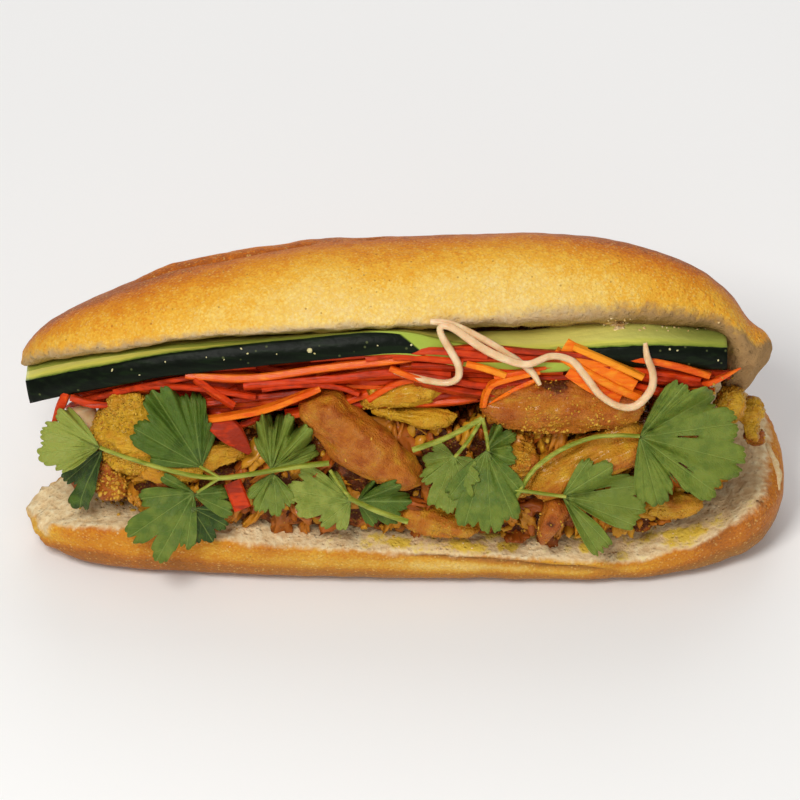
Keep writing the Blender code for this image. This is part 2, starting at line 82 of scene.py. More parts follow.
# %% Curves and places
def along(stops, x):
    """Smooth curve through (x, value) stops, level beyond the first and last."""
    if x <= stops[0][0]:
        return stops[0][1]
    if x >= stops[-1][0]:
        return stops[-1][1]
    i = next(k for k in range(len(stops) - 1) if x < stops[k + 1][0])
    before, a, b, after = (stops[min(max(k, 0), len(stops) - 1)] for k in (i - 1, i, i + 1, i + 2))
    span = b[0] - a[0]
    slope_a = (b[1] - before[1]) / (b[0] - before[0]) * span
    slope_b = (after[1] - a[1]) / (after[0] - a[0]) * span
    t = (x - a[0]) / span
    return ((2 * t**3 - 3 * t**2 + 1) * a[1] + (t**3 - 2 * t**2 + t) * slope_a
            + (3 * t**2 - 2 * t**3) * b[1] + (t**3 - t**2) * slope_b)


def follow(stops, xs):
    """The same curve for a whole array of places."""
    grid = np.linspace(stops[0][0], stops[-1][0], 400)
    return np.interp(xs, grid, [along(stops, x) for x in grid])


def ease(low, high, x):
    """0 below low, 1 above high, eased in between, for numbers or arrays."""
    t = np.clip((x - low) / (high - low), 0.0, 1.0)
    return t * t * (3 - 2 * t)


def hump(x, middle, half):
    """1 at the middle, falling away smoothly to either side."""
    return np.exp(-((x - middle) / half) ** 2)


# %% Places in the sandwich
def placed(point):
    """From millimetres about the roll's middle to metres in the frame."""
    return (Vector(point) - CENTRE) * MM


def mouth_point(x, up, out):
    """A point given along the roll, up the mouth from the rim, and out in front of the mouth."""
    lean = (math.sin(MOUTH_TILT), math.cos(MOUTH_TILT))
    return Vector((x, RIM_Y + up * lean[0] - out * lean[1], RIM_Z + up * lean[1] + out * lean[0]))


def slope_point(x, rise, out):
    """The same kind of point, with its height taken up a slope of 45 degrees, the way the leaves face."""
    up = SLOPE_STRETCH * (rise + SLOPE_RIM + SLOPE_SHARE * out)
    return mouth_point(x, up, out)


LEAF_UP = Vector((0.0, math.sin(math.radians(45)), math.cos(math.radians(45))))
LEAF_OUT = Vector((0.0, -math.cos(math.radians(45)), math.sin(math.radians(45))))
print("mouth from", [[round(v, 1) for v in mouth_point(0, up, 0)] for up in (0, 86)])


# %% Noise over many points
def bumps(points, size, layer=0.0):
    """Smooth noise from -1 to 1, with humps about `size` mm across, at each of many points."""
    if isinstance(size, (int, float)):
        size = (size, size, size)
    scaled = np.asarray(points) / np.asarray(size) + (layer, layer * 0.37, layer * 0.71)
    return np.array([noise.noise(p) for p in scaled.tolist()])


# %% [markdown]
# ## Camera, floor and light
# The camera looks down on the open mouth at 45 degrees through a long lens, so the roll keeps its
# shape. The main lamp hangs high on the front left and models the crust, a wide lamp low in front
# fills the mouth, and one behind lights the crown. A plain pale floor throws light back up. The
# standard view keeps food colours clean.

# %% Put things in the scene
def in_scene(name, data):
    """A new object that shows in the scene, with its place in its data."""
    made = bpy.data.objects.new(name, data)
    bpy.context.scene.collection.objects.link(made)
    return made


# %% Camera
AIM = Vector((-0.0012, -0.0222, 0.0670))
DISTANCE = 2.923
camera_data = bpy.data.cameras.new("camera")
camera_data.lens, camera_data.sensor_width = 400.0, 36.0
camera_data.clip_start = 0.01
camera = in_scene("camera", camera_data)
camera.location = AIM + DISTANCE * LEAF_OUT
camera.rotation_euler = (math.radians(45), 0.0, 0.0)
bpy.context.scene.camera = camera

# %% Floor
floor_mesh = bpy.data.meshes.new("floor")
floor_mesh.from_pydata([(-3, -3, 0), (3, -3, 0), (3, 3, 0), (-3, 3, 0)], [], [(0, 1, 2, 3)])
floor = in_scene("floor", floor_mesh)
floor_look = bpy.data.materials.new("plain_pale_floor")
floor_look.use_nodes = True
floor_shader = floor_look.node_tree.nodes["Principled BSDF"]
for label, value in (("Base Color", (0.93, 0.93, 0.93, 1.0)), ("Roughness", 0.9),
                     ("Specular IOR Level", 0.1)):
    floor_shader.inputs[label].default_value = value
floor_mesh.materials.append(floor_look)


# %% Lamps and sky
def soft_lamp(name, place, size, power, tint=(1.0, 1.0, 1.0)):
    """A square lamp that faces the sandwich."""
    data = bpy.data.lights.new(name, "AREA")
    data.shape, data.size, data.energy, data.color = "SQUARE", size, power, tint
    lamp = in_scene(name, data)
    lamp.location = place
    lamp.rotation_euler = (Vector((0, 0, 0.05)) - lamp.location).to_track_quat("-Z", "Y").to_euler()


soft_lamp("main_lamp", Vector((-0.30, -0.58, 1.00)), 0.36, 7.7, (1.0, 0.98, 0.94))
soft_lamp("front_lamp", Vector((0.35, -1.05, 0.35)), 0.60, 1.9, (1.0, 0.98, 0.95))
soft_lamp("back_lamp", Vector((0.10, 0.75, 0.85)), 0.8, 3.2)
sky = bpy.data.worlds.new("sky")
sky.use_nodes = True
background = sky.node_tree.nodes["Background"]
background.inputs["Color"].default_value = (1.0, 1.0, 1.0, 1.0)
background.inputs["Strength"].default_value = 0.36
bpy.context.scene.world = sky
bpy.context.scene.view_settings.view_transform = "Standard"
bpy.context.scene.view_settings.look = "None"

# %% [markdown]
# ## Tools for materials
# Every finish is a small tree of nodes. These helpers keep the trees short: one adds a node, one joins
# or sets a socket, one does both, and the others name the few moves that all finishes share. Colours
# are given as they look on a screen, from 0 to 255, and turned into the linear values that the shader
# works in.


# %% Node helpers
def paint(red, green, blue):
    """A screen colour as the shader's linear colour."""
    linear = [c / 255 / 12.92 if c <= 10 else ((c / 255 + 0.055) / 1.055) ** 2.4
              for c in (red, green, blue)]
    return (*linear, 1.0)


def add(tree, kind, **settings):
    """Put a node in a tree."""
    made = tree.nodes.new(kind)
    for name, value in settings.items():
        setattr(made, name, value)
    return made


def join(tree, source, node, socket):
    """Link an output to an input, or set the input to a plain value."""
    if isinstance(source, bpy.types.NodeSocket):
        tree.links.new(source, node.inputs[socket])
    else:
        node.inputs[socket].default_value = source


def wired(tree, kind, links, **settings):
    """Put a node in a tree and fill its sockets."""
    made = add(tree, kind, **settings)
    for socket, source in links.items():
        join(tree, source, made, socket)
    return made


# %% Sums
def calc(tree, operation, a, b=0.0):
    """A sum, worked out at every point of a surface."""
    return wired(tree, "ShaderNodeMath", {0: a, 1: b}, operation=operation).outputs[0]


def plus(tree, a, b):
    return calc(tree, "ADD", a, b)


def minus(tree, a, b):
    return calc(tree, "SUBTRACT", a, b)


def times(tree, a, b):
    return calc(tree, "MULTIPLY", a, b)


def swayed(tree, value, mask, amount):
    """A value pushed up and down by a mask, with no change where the mask is half."""
    return plus(tree, value, times(tree, minus(tree, mask, 0.5), amount))


# %% Scales and colours
def remap(tree, value, low, high, to_low=0.0, to_high=1.0):
    """Ease a value from one range to another."""
    sockets = dict(enumerate((value, low, high, to_low, to_high)))
    return wired(tree, "ShaderNodeMapRange", sockets, interpolation_type="SMOOTHSTEP").outputs[0]


def mix(tree, mask, a, b):
    """Colour a where the mask is 0, colour b where it is 1."""
    return wired(tree, "ShaderNodeMix", {0: mask, 6: a, 7: b}, data_type="RGBA").outputs[2]


def tinted(tree, colour, mask, strength, tint):
    """A colour with a tint laid over it where the mask is high."""
    return mix(tree, times(tree, mask, strength), colour, paint(*tint))


def ramp(tree, value, stops):
    """Colours along a scale from 0 to 1."""
    made = add(tree, "ShaderNodeValToRGB")
    made.color_ramp.interpolation = "EASE"
    for _ in stops[2:]:
        made.color_ramp.elements.new(0.5)
    for element, (place, colour) in zip(made.color_ramp.elements, stops):
        element.position, element.color = place, paint(*colour)
    join(tree, value, made, 0)
    return made.outputs[0]


def stored(tree, name, output="Fac"):
    """A value kept on the mesh's points."""
    return add(tree, "ShaderNodeAttribute", attribute_name=name).outputs[output]


# %% Start and end a finish
def finish_material(name, **sockets):
    """A material whose shader's plain sockets are set, and its tree."""
    made = bpy.data.materials.new(name)
    made.use_nodes = True
    shader = made.node_tree.nodes["Principled BSDF"]
    for label, value in sockets.items():
        shader.inputs[label.replace("_", " ")].default_value = value
    return made, made.node_tree, shader


def surface(tree, shader, colour, mask, smooth, dull):
    """Set the colour, and a roughness that runs from smooth to dull as a mask goes from 0 to 1."""
    join(tree, colour, shader, "Base Color")
    join(tree, remap(tree, mask, 0.0, 1.0, smooth, dull), shader, "Roughness")


def relief(tree, shader, height, depth):
    """Feed a height to the shader's normal, with the depth in millimetres."""
    bump = wired(tree, "ShaderNodeBump", {"Strength": 1.0, "Distance": depth * MM, "Height": height})
    tree.links.new(bump.outputs[0], shader.inputs["Normal"])


def own_place(tree):
    """Where a point lies on its own piece, which is also its place in the frame."""
    return add(tree, "ShaderNodeTexCoord").outputs["Object"]


# %% [markdown]
# Two effects turn up in almost every food here, so each is a shader group built once: blotches, for
# patches of colour, and grains, for pores and specks. Squeezed along one direction by `Stretch`,
# blotches also give fibres and streaks. A group only puts out a mask, and each material decides what
# the mask does.


# %% Shared shader groups
GROUP_INPUTS = (("Place", "Vector", (0.0, 0.0, 0.0)), ("Stretch", "Vector", (1.0, 1.0, 1.0)),
                ("Scale", "Float", 500.0), ("Low", "Float", 0.4), ("High", "Float", 0.6))


def mask_group(name, texture, more_links, **settings):
    """A group that eases a texture between Low and High, and puts out the mask."""
    group = bpy.data.node_groups.new(name, "ShaderNodeTree")
    for label, kind, value in GROUP_INPUTS:
        made = group.interface.new_socket(label, in_out="INPUT", socket_type="NodeSocket" + kind)
        made.default_value = value
    group.interface.new_socket("Mask", in_out="OUTPUT", socket_type="NodeSocketFloat")
    entry = add(group, "NodeGroupInput").outputs
    squeezed = wired(group, "ShaderNodeVectorMath", {0: entry["Place"], 1: entry["Stretch"]},
                     operation="MULTIPLY")
    links = {"Vector": squeezed.outputs[0], "Scale": entry["Scale"], **more_links}
    grey = wired(group, texture, links, **settings).outputs[0]
    wired(group, "NodeGroupOutput", {0: remap(group, grey, entry["Low"], entry["High"])})
    return group


blotches = mask_group("blotches", "ShaderNodeTexNoise", {"Detail": 4.0})
grains = mask_group("grains", "ShaderNodeTexVoronoi", {}, feature="F1")
print("shader groups:", blotches.name, grains.name)


def pattern(tree, group, place, scale, low, high, stretch=(1.0, 1.0, 1.0)):
    """A shared group set to work in a material."""
    links = {"Place": place, "Stretch": stretch, "Scale": scale, "Low": low, "High": high}
    return wired(tree, "ShaderNodeGroup", links, node_tree=group).outputs[0]


# %% [markdown]
# ## Making a solid fine enough to shape
# A solid from the frame has large facets. A copy of it is merged, filled with an even skin of small
# faces by a voxel remesh, and smoothed a little. After that each point can be moved in or out to
# give crumb, blisters, fibres or torn edges. The copy keeps the solid's size and place.


# %% Copy and refine a solid
def fine_copy(node, name, voxel, smooth_rounds, pull_in=0.0):
    """A closed, evenly faceted copy of a solid. Sizes in millimetres."""
    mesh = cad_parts[node].data.copy()
    tools = bmesh.new()
    tools.from_mesh(mesh)
    bmesh.ops.remove_doubles(tools, verts=tools.verts, dist=1e-6)
    if pull_in:
        tools.normal_update()
        for v, normal in [(v, v.normal.copy()) for v in tools.verts]:
            v.co -= normal * pull_in * MM
    tools.to_mesh(mesh)
    tools.free()
    piece = in_scene(name, mesh)
    remesh = piece.modifiers.new("even skin", "REMESH")
    remesh.mode, remesh.voxel_size = "VOXEL", voxel * MM
    smooth = piece.modifiers.new("smooth", "SMOOTH")
    smooth.factor, smooth.iterations = 0.5, smooth_rounds
    return baked(piece)


# %% Turn modifiers and mesh tools into plain pieces
def baked(piece):
    """Turn a piece with modifiers into a plain mesh."""
    shaped = bpy.data.meshes.new_from_object(piece.evaluated_get(bpy.context.evaluated_depsgraph_get()))
    piece.modifiers.clear()
    old, piece.data = piece.data, shaped
    bpy.data.meshes.remove(old)
    shaped.name = piece.name
    return piece


def built(name, tools):
    """Turn finished mesh tools into a piece in the scene."""
    mesh = bpy.data.meshes.new(name)
    tools.to_mesh(mesh)
    tools.free()
    return in_scene(name, mesh)


# %% Read and move a piece's points
def points_of(piece):
    """Points in millimetres about the roll's middle, and their outward directions."""
    count = len(piece.data.vertices)
    co, out = np.empty(count * 3), np.empty(count * 3)
    piece.data.vertices.foreach_get("co", co)
    piece.data.vertices.foreach_get("normal", out)
    return co.reshape(-1, 3) / MM + np.array(CENTRE), out.reshape(-1, 3)


def move_points(piece, points):
    """Put a piece's points where these millimetres say."""
    piece.data.vertices.foreach_set("co", ((points - np.array(CENTRE)) * MM).ravel())
    piece.data.update()


def keep(mesh, name, values):
    """Store one number, or one vector, on each point for a material or a tree to read."""
    values = np.asarray(values, float)
    kind, key = ("FLOAT", "value") if values.ndim == 1 else ("FLOAT_VECTOR", "vector")
    mesh.attributes.new(name, kind, "POINT").data.foreach_set(key, values.ravel())


def kept(mesh, name):
    """The numbers stored on each point."""
    values = np.empty(len(mesh.vertices))
    mesh.attributes[name].data.foreach_get("value", values)
    return values


# %% Settle a finished piece
def settle(piece, look, slot, *nodes):
    """Dress a finished piece, hang it on the frame and hide the solids that it stands for."""
    if look is not None:
        piece.data.materials.clear()
        piece.data.materials.append(look)
    piece.data.shade_smooth()
    piece.data.calc_loop_triangles()
    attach(piece, "root")
    if nodes:
        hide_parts(*nodes)
    print(piece.name, len(piece.data.loop_triangles), "triangles")
    return piece


# %% [markdown]
# ## The roll
# The crust is thin, smooth and glossy brown on the crown, golden on the shoulder and almost cream
# beside the cut, with fine blisters. The crumb is soft, pale and full of pores, and it shows as a
# band along both cut edges. One mesh carries both: for every point the script works out how far
# inside the cut edge it lies, and keeps that as `crumb`, and how brown the oven made it, with
# painted shade in the slash's groove, a short crack and the crease and a painted highlight on the
# slash's ridge, as `bake`.

# %% Roll mesh
roll = fine_copy("bread", "banh_mi_roll", 1.25, 6)
spots, outward = points_of(roll)
x, y, z = spots.T
print("roll points:", len(spots))


# %% Distance in from an outline
def inside_edge(along_x, across, left, right, blunt_left, blunt_right, half_width):
    """Distance in from a half's outline, seen flat on its cut."""
    half = np.where(along_x < 0, left, right)
    blunt = np.where(along_x < 0, blunt_left, blunt_right)
    a, b = np.abs(along_x / half), np.abs(across / half_width)
    slope = np.hypot(blunt / half * a ** (blunt - 1), 2.2 / half_width * b**1.2)
    return (1 - a**blunt - b**2.2) / np.maximum(slope, 1e-4)


# %% Where the lid's crust gives way to crumb
TIP_X, TIP_RISE, TIP_FALL = 109.5, 66.0, 0.75   # the crumb's upper edge at the lid's right tip
cos_tilt, sin_tilt = math.cos(LID_TILT), math.sin(LID_TILT)
from_hinge = (z - HINGE_Z) * sin_tilt - (y - HINGE_Y) * cos_tilt
above_cut = (z - HINGE_Z) * cos_tilt + (y - HINGE_Y) * sin_tilt
LID_FROM_ANGLE, LID_FROM_HEIGHT = 22, 36.0      # above these a point belongs to the lid
lid_angle = np.degrees(np.arctan2(z - HINGE_Z, HINGE_Y - y))
upper = np.where(y < HINGE_Y, lid_angle > LID_FROM_ANGLE, z > LID_FROM_HEIGHT)
near_lip = np.clip(from_hinge / CUT_DEPTH, 0.0, 1.0)
lip_lift = follow(LIP_RISE, x) * near_lip**1.2
lid_edge = inside_edge(x, from_hinge - CUT_DEPTH / 2, ROLL_LEFT, LID_RIGHT, 3.0, 3.2, HALF_WIDTH)
below_lip = lip_lift + CRUMB_HOLLOW * 0.3 + 0.9 * ease(50, 90, -x) - above_cut
lid_crumb = ease(-0.8, 2.8, lid_edge) * ease(-4.6, -0.6, below_lip)
rise_now = (y + z) * math.sqrt(0.5)
below_tip = TIP_RISE - TIP_FALL * (x - TIP_X) - rise_now
lid_crumb = np.maximum(lid_crumb, ease(-1.0, 2.5, below_tip) * ease(104, 111, x))

# %% Where the base's crust gives way to crumb
BASE_MIDDLE = 1.5
middle = BASE_MIDDLE + follow(ROLL_BEND, x)
front_half = np.where(y < middle, HALF_WIDTH - RIM_TUCK, HALF_WIDTH)
front_half = np.where(y < middle, front_half, front_half * (1 - 0.85 * ease(94, 116, -x)))
base_edge = inside_edge(x, y - middle, ROLL_LEFT, ROLL_RIGHT, 3.0, 5.5, front_half)
back_share = np.clip((y - middle) / (2 * HALF_WIDTH) + 0.5, 0.0, 1.0)
cut_height = follow(RIM_HEIGHT, x) * (1 - back_share) + follow(BACK_HEIGHT, x) * back_share
base_crumb = ease(-1.0, 2.8, base_edge + 0.9 * bumps(spots, 9.0, 21.0))
base_crumb = base_crumb * ease(-8.0, -3.5, z - cut_height)
ragged_tip = ease(114, 120, -x) * (1 - upper)
tatters = ragged_tip * ease(8.0, 13.0, z) * ease(-0.2, 0.15, bumps(spots, 5.0, 3.0))
base_crumb = np.maximum(base_crumb, tatters)
crumb = np.where(upper, lid_crumb, base_crumb)

# %% Soften the border over neighbouring points
SOFTEN_ROUNDS = 6
ends = np.empty(len(roll.data.edges) * 2, int)
roll.data.edges.foreach_get("vertices", ends)
ends = ends.reshape(-1, 2)
for _ in range(SOFTEN_ROUNDS):
    total, count = crumb.copy(), np.ones(len(crumb))
    for a, b in (ends.T, ends.T[::-1]):
        np.add.at(total, a, crumb[b])
        np.add.at(count, a, 1.0)
    crumb = total / count
print("share of crumb:", round(float(crumb.mean()), 2))

# %% How brown the oven made it
around = np.degrees(np.arctan2((above_cut - lip_lift) / LID_THICKNESS,
                               (from_hinge - CUT_DEPTH / 2) / HALF_WIDTH))
patchy = bumps(spots, 22.0, 5.0) * 0.5 + bumps(spots, 9.0, 9.0) * 0.25
lid_bake = 0.07 + 0.84 * ease(2, 74, around) - 0.22 * ease(95, 160, around) + 0.20 * patchy
lid_bake += (0.36 * ease(22, 105, -x) + 0.34 * ease(35, 95, x)) * (1 - 0.75 * ease(50, 90, around))
lid_bake += 0.16 * ease(108, 124, x)
base_drop = np.clip((follow(RIM_HEIGHT, x) - z) / follow(RIM_HEIGHT, x), 0.0, 1.0)
base_bake = 0.38 + 0.14 * hump(base_drop, 0.0, 0.2) + 0.42 * ease(0.36, 0.62, base_drop)
base_bake = base_bake + 0.36 * patchy
base_bake += 0.20 * ease(25, 80, -x) * (1 - ease(108, 122, -x)) + 0.34 * ease(55, 110, x)
base_bake -= 0.26 * hump(x, 30, 42) * hump(base_drop, 0.28, 0.09) * (1 + 1.2 * patchy)
bake = np.clip(np.where(upper, lid_bake, base_bake), 0.0, 1.0)

# %% [markdown]
# The baker's slash runs along the left of the crown as a low ridge with a groove behind it, and
# it ends in a small bump. Below the rim, a crease shows where the base was squeezed. The groove, a
# short crack on the crown and the crease are sunk and also darkened as painted shade, and the ridge is
# lightened as a painted highlight. Where the filling touched the bottom crumb, turmeric and oil
# stained it yellow in uneven patches.

# %% Slash, crease and stains
slash_path = 61 + (x + 60) * 0.06 + 1.6 * np.sin(x / 7.0)
slash = ease(-92, -78, x) * (1 - ease(-34, -26, x)) * upper * (crumb < 0.5)
ridge, groove = slash * hump(around, slash_path + 11.0, 6.0), slash * hump(around, slash_path, 2.6)
end_bump = upper * hump(x, -25.0, 7.5) * hump(around, 78.0, 12.0)
short_crack = upper * hump(x, -8.5, 3.2) * hump(around, 66.0 + (x + 8.5) * 0.7, 1.8)
CREASE = ((-8, -12.7), (20, -15.5), (45, -18.0), (60, -19.4), (80, -20.3))
crease_path = follow(CREASE, x) + 0.25 * np.sin(x / 4.3)
crease = (1 - upper) * ease(-6, 8, x) * (1 - ease(56, 78, x)) * hump(rise_now, crease_path, 0.8) * (y < -20)
near_filling = base_crumb * (1 - ease(-27, -12, y)) * ease(-45, 0, x)
stain = 0.62 * near_filling * np.clip(bumps(spots, 7.0, 13.0) * 1.5 + 0.42, 0.0, 1.0)
STAINED = ((-1, -32, 5.0), (20, -32, 6.5), (35, -31, 4.0), (94, -27, 8.0), (-88, -15, 6.0), (62, -30, 4.0))
for place_x, place_y, reach in STAINED:
    spot = np.exp(-((x - place_x) ** 2 / reach**2 + (y - place_y) ** 2 / 9.0))
    stain = np.maximum(stain, base_crumb * np.clip(spot * (1.1 + 0.8 * bumps(spots, 3.0, 17.0)), 0, 1))
# Painted shade darkens the slash's groove, the short crack and the crease, and a painted highlight lightens
# the ridge.
bake = np.clip(bake + 0.22 * groove - 0.12 * ridge + 0.25 * short_crack + 0.42 * crease, 0.0, 1.0)

# %% Raise and sink the surface
crust = 1 - crumb
rise = crust * (0.35 * bumps(spots, 11.0, 1.0) + 0.14 * bumps(spots, 3.6, 2.0))
rise += crumb * (0.70 * bumps(spots, 8.0, 4.0) + 0.55 * bumps(spots, 3.2, 6.0))
rise += 1.0 * ridge - 1.5 * groove + 1.0 * end_bump - 0.8 * short_crack - 1.9 * crease
LID_CRUMB_HANGS = ((-124, 2.0), (-108, 2.7), (-92, 2.9), (-78, 2.2), (-60, 1.7), (-30, 2.0), (10, 2.6),
                   (35, 3.6), (60, 4.8), (96, 4.6), (110, 2.0), (122, 0.0))
hanging = follow(LID_CRUMB_HANGS, x)
rise += hanging * crumb * upper * ease(20, 44, from_hinge) * ease(-0.1, 0.4, -outward[:, 2])
rise += 3.6 * crumb * upper * ease(99, 106, x) * ease(0.2, 0.7, -outward[:, 0])
# The base is blunter at both ends than a plain roll is
rise += (1 - upper) * (2.8 * ease(104, 121, x) + 1.5 * ease(114, 120, -x))
rise += ragged_tip * (1.3 * bumps(spots, 4.0, 8.0) + 0.9 * bumps(spots, 2.2, 10.0) - 0.6)
on_ground = (z < 0.6) & (outward[:, 2] < -0.5)
rise[on_ground] = 0.0

# %% Sag, beak and stored values
new_spots = spots + outward * rise[:, None]
# The lid's right end sags over the filling
sag = 8.0 * upper * ease(103, 113, x) * (1 - 0.85 * ease(112, 120, x))
sag = sag * (1 - ease(1, 15, above_cut - lip_lift)) * ease(12, 36, from_hinge)
new_spots -= np.outer(sag, (0.0, sin_tilt, cos_tilt))
# The lid ends in a beak on the right, and it reaches a little further out on the left
beak = upper * ease(50, 57, rise_now) * (1 - ease(60, 88, rise_now)) * (1 - ease(-5, 20, y))
new_spots[:, 0] += 4.6 * beak * ease(96, 112, x) - 2.2 * upper * ease(84, 118, -x)
new_spots[:, 2] = np.maximum(new_spots[:, 2], 0.0)
move_points(roll, new_spots)
# Painted shade: `dull` makes the base's crust darker and browner, most towards its bottom and in the crease,
# broken by random patches.
dull = (1 - upper) * (0.40 + 0.95 * ease(0.34, 0.62, base_drop) + 0.5 * patchy)
dull = dull * (1 - 0.35 * ease(30, 80, -x))
dull = np.clip(dull + 1.6 * crease, 0.0, 1.6)
shaded = upper * ease(-5, -1, lip_lift - above_cut + 4)
shaded = shaded * (0.62 + 0.68 * ease(30, 90, x) + 0.35 * ease(40, 90, -x))
for name, values in (("crumb", crumb), ("bake", bake), ("stain", stain), ("dull", dull), ("shaded", shaded)):
    keep(roll.data, name, values)
print("roll points moved by up to", round(float(np.abs(rise).max()), 1), "mm")

# %% [markdown]
# The finish mixes two looks by the `crumb` mask, with noise added so that the border is ragged. Crust
# goes through a colour scale by `bake`, is darkened on the base by `dull`, which is
# painted shade broken by random patches, then gets pale flecks and a few dark specks. Crumb is a warm
# cream with darker pores, darkened by `shaded` as painted shade under the lid's lip, and the stain
# turns it yellow. Pores sink and blisters rise in the bump.

# %% Roll finish
bread_look, tree, shader = finish_material("baked_roll", Specular_IOR_Level=0.09)
place = own_place(tree)
cloudy = pattern(tree, blotches, place, 240.0, 0.25, 0.75)
fine = pattern(tree, blotches, place, 1300.0, 0.3, 0.7)
level = swayed(tree, stored(tree, "bake"), cloudy, 0.16)
level = swayed(tree, level, fine, 0.20)
crust_colour = ramp(tree, level, [(0.0, (243, 215, 136)), (0.2, (241, 202, 100)), (0.4, (235, 178, 58)),
                                  (0.62, (222, 144, 34)), (0.84, (202, 109, 26)), (1.0, (160, 80, 26))])
pebbles = pattern(tree, grains, place, 640.0, 0.10, 0.75)
flecks = pattern(tree, grains, place, 820.0, 0.42, 0.12)
flecks = times(tree, flecks, pattern(tree, blotches, place, 420.0, 0.40, 0.6))
# Painted shade on the base's crust, from `dull`.
crust_colour = tinted(tree, crust_colour, stored(tree, "dull"), 0.62, (158, 112, 58))
crust_colour = tinted(tree, crust_colour, pebbles, 0.20, (196, 118, 36))
crust_colour = tinted(tree, crust_colour, flecks, 0.55, (240, 200, 116))
specks = pattern(tree, grains, place, 210.0, 0.10, 0.05)
crust_colour = tinted(tree, crust_colour, specks, 0.5, (120, 62, 26))
pores = pattern(tree, grains, place, 520.0, 0.34, 0.08)
soft = pattern(tree, blotches, place, 460.0, 0.25, 0.75)
crumb_colour = ramp(tree, soft, [(0.0, (220, 186, 138)), (0.5, (236, 208, 160)), (1.0, (244, 224, 182))])
crumb_colour = tinted(tree, crumb_colour, pores, 0.16, (184, 140, 92))
crumb_colour = tinted(tree, crumb_colour, stored(tree, "shaded"), 0.74, (160, 124, 80))
patch = remap(tree, swayed(tree, stored(tree, "stain"), soft, 0.5), 0.25, 0.75)
crumb_colour = tinted(tree, crumb_colour, patch, 0.85, (226, 190, 40))
edge = swayed(tree, stored(tree, "crumb"), soft, 0.16)
edge = remap(tree, edge, 0.32, 0.74)
surface(tree, shader, mix(tree, edge, crust_colour, crumb_colour), edge, 0.46, 0.92)
blister = plus(tree, times(tree, fine, 0.35), times(tree, flecks, 0.4))
blister = minus(tree, blister, times(tree, pebbles, 0.55))
pitted = minus(tree, times(tree, soft, 1.2), times(tree, pores, 0.8))
height = plus(tree, times(tree, blister, minus(tree, 1.0, edge)), times(tree, pitted, edge))
relief(tree, shader, height, 0.36)
settle(roll, bread_look, "bread_crust", "bread")

# %% [markdown]
# ## Cucumber
# One long slice cut lengthwise lies under the lid. Its upper face is pale wet flesh, and its front
# edge is nearly black skin with a few pale flecks. The slice twists: on the left the skin faces
# front, and to the right the flesh turns into view. A skin of rings along the slice follows both, and
# a value on each point says how near it is to the skin, from which the finish takes its colours.

# %% Section of the slice
ROWS = 190
SKIN_BULGE = 1.1
CUT_LEAN = 0.18                         # how much the left end is cut on a slant
CUT_ROUNDING, CUT_FROM_SKIN, CORE_FROM_SKIN = 0.06, 1.2, 9.0
TOP_STEPS = (0.0, 0.02, 0.045, 0.08, 0.13, 0.2, 0.3, 0.4, 0.5, 0.6, 0.7, 0.8, 0.9, 0.97, 1.0)
FRONT_STEPS = [k / 10 for k in range(1, 10)]


def slice_section(x, lean):
    """Points round the slice at one place, with how far each is from the skin in millimetres."""
    up, out = (along([(s[0], s[k]) for s in SLICE_EDGE], x) for k in (1, 2))
    tilt = math.radians(along(SLICE_TILT, x))
    corner = mouth_point(x, up, out)
    back = Vector((0.0, math.cos(tilt), -math.sin(tilt)))
    top = Vector((0.0, math.sin(tilt), math.cos(tilt)))
    ring = [(corner + back * SLICE_DEPTH * f, SLICE_DEPTH * f) for f in TOP_STEPS]
    ring.append((corner + back * SLICE_DEPTH * 1.01 - top * SLICE_THICKNESS * 0.5, SLICE_DEPTH))
    ring += [(corner + back * SLICE_DEPTH * f - top * SLICE_THICKNESS, SLICE_DEPTH * f)
             for f in TOP_STEPS[::-1]]
    ring += [(corner - back * SKIN_BULGE * math.sin(math.pi * f) - top * SLICE_THICKNESS * f, -1.0 - f)
             for f in FRONT_STEPS[::-1]]
    return [(p + Vector((lean * (corner - p).dot(top), 0, 0)), d) for p, d in ring]


# %% Slice mesh
tools = bmesh.new()
skin_layer = tools.verts.layers.float.new("from_skin")
left, right = SLICE_EDGE[0][0], SLICE_EDGE[-1][0]
rows = []
for n in range(ROWS + 1):
    station = left + (right - left) * n / ROWS
    rows.append([])
    for p, from_skin in slice_section(station, CUT_LEAN * (1 - n / ROWS)):
        p += Vector((0.0, 0.0, 0.30 * noise.noise(p / 13.0) + 0.10 * noise.noise(p / 3.0)))
        v = tools.verts.new(placed(p))
        v[skin_layer] = from_skin
        rows[-1].append(v)
around_slice = len(rows[0])
for a, b in zip(rows, rows[1:]):
    for k in range(around_slice):
        tools.faces.new((a[k], a[(k + 1) % around_slice], b[(k + 1) % around_slice], b[k]))
for row in (rows[0], rows[-1]):
    cut = []
    centre = sum((v.co for v in row), Vector()) / around_slice
    for v in row:
        w = tools.verts.new(v.co.lerp(centre, CUT_ROUNDING))
        w[skin_layer] = max(v[skin_layer], CUT_FROM_SKIN)
        cut.append(w)
    hub = tools.verts.new(centre)
    hub[skin_layer] = CORE_FROM_SKIN
    for k in range(around_slice):
        j = (k + 1) % around_slice
        tools.faces.new((row[k], row[j], cut[j], cut[k]))
        tools.faces.new((cut[k], cut[j], hub))
bmesh.ops.recalc_face_normals(tools, faces=tools.faces)
cucumber = built("cucumber_long_slice", tools)

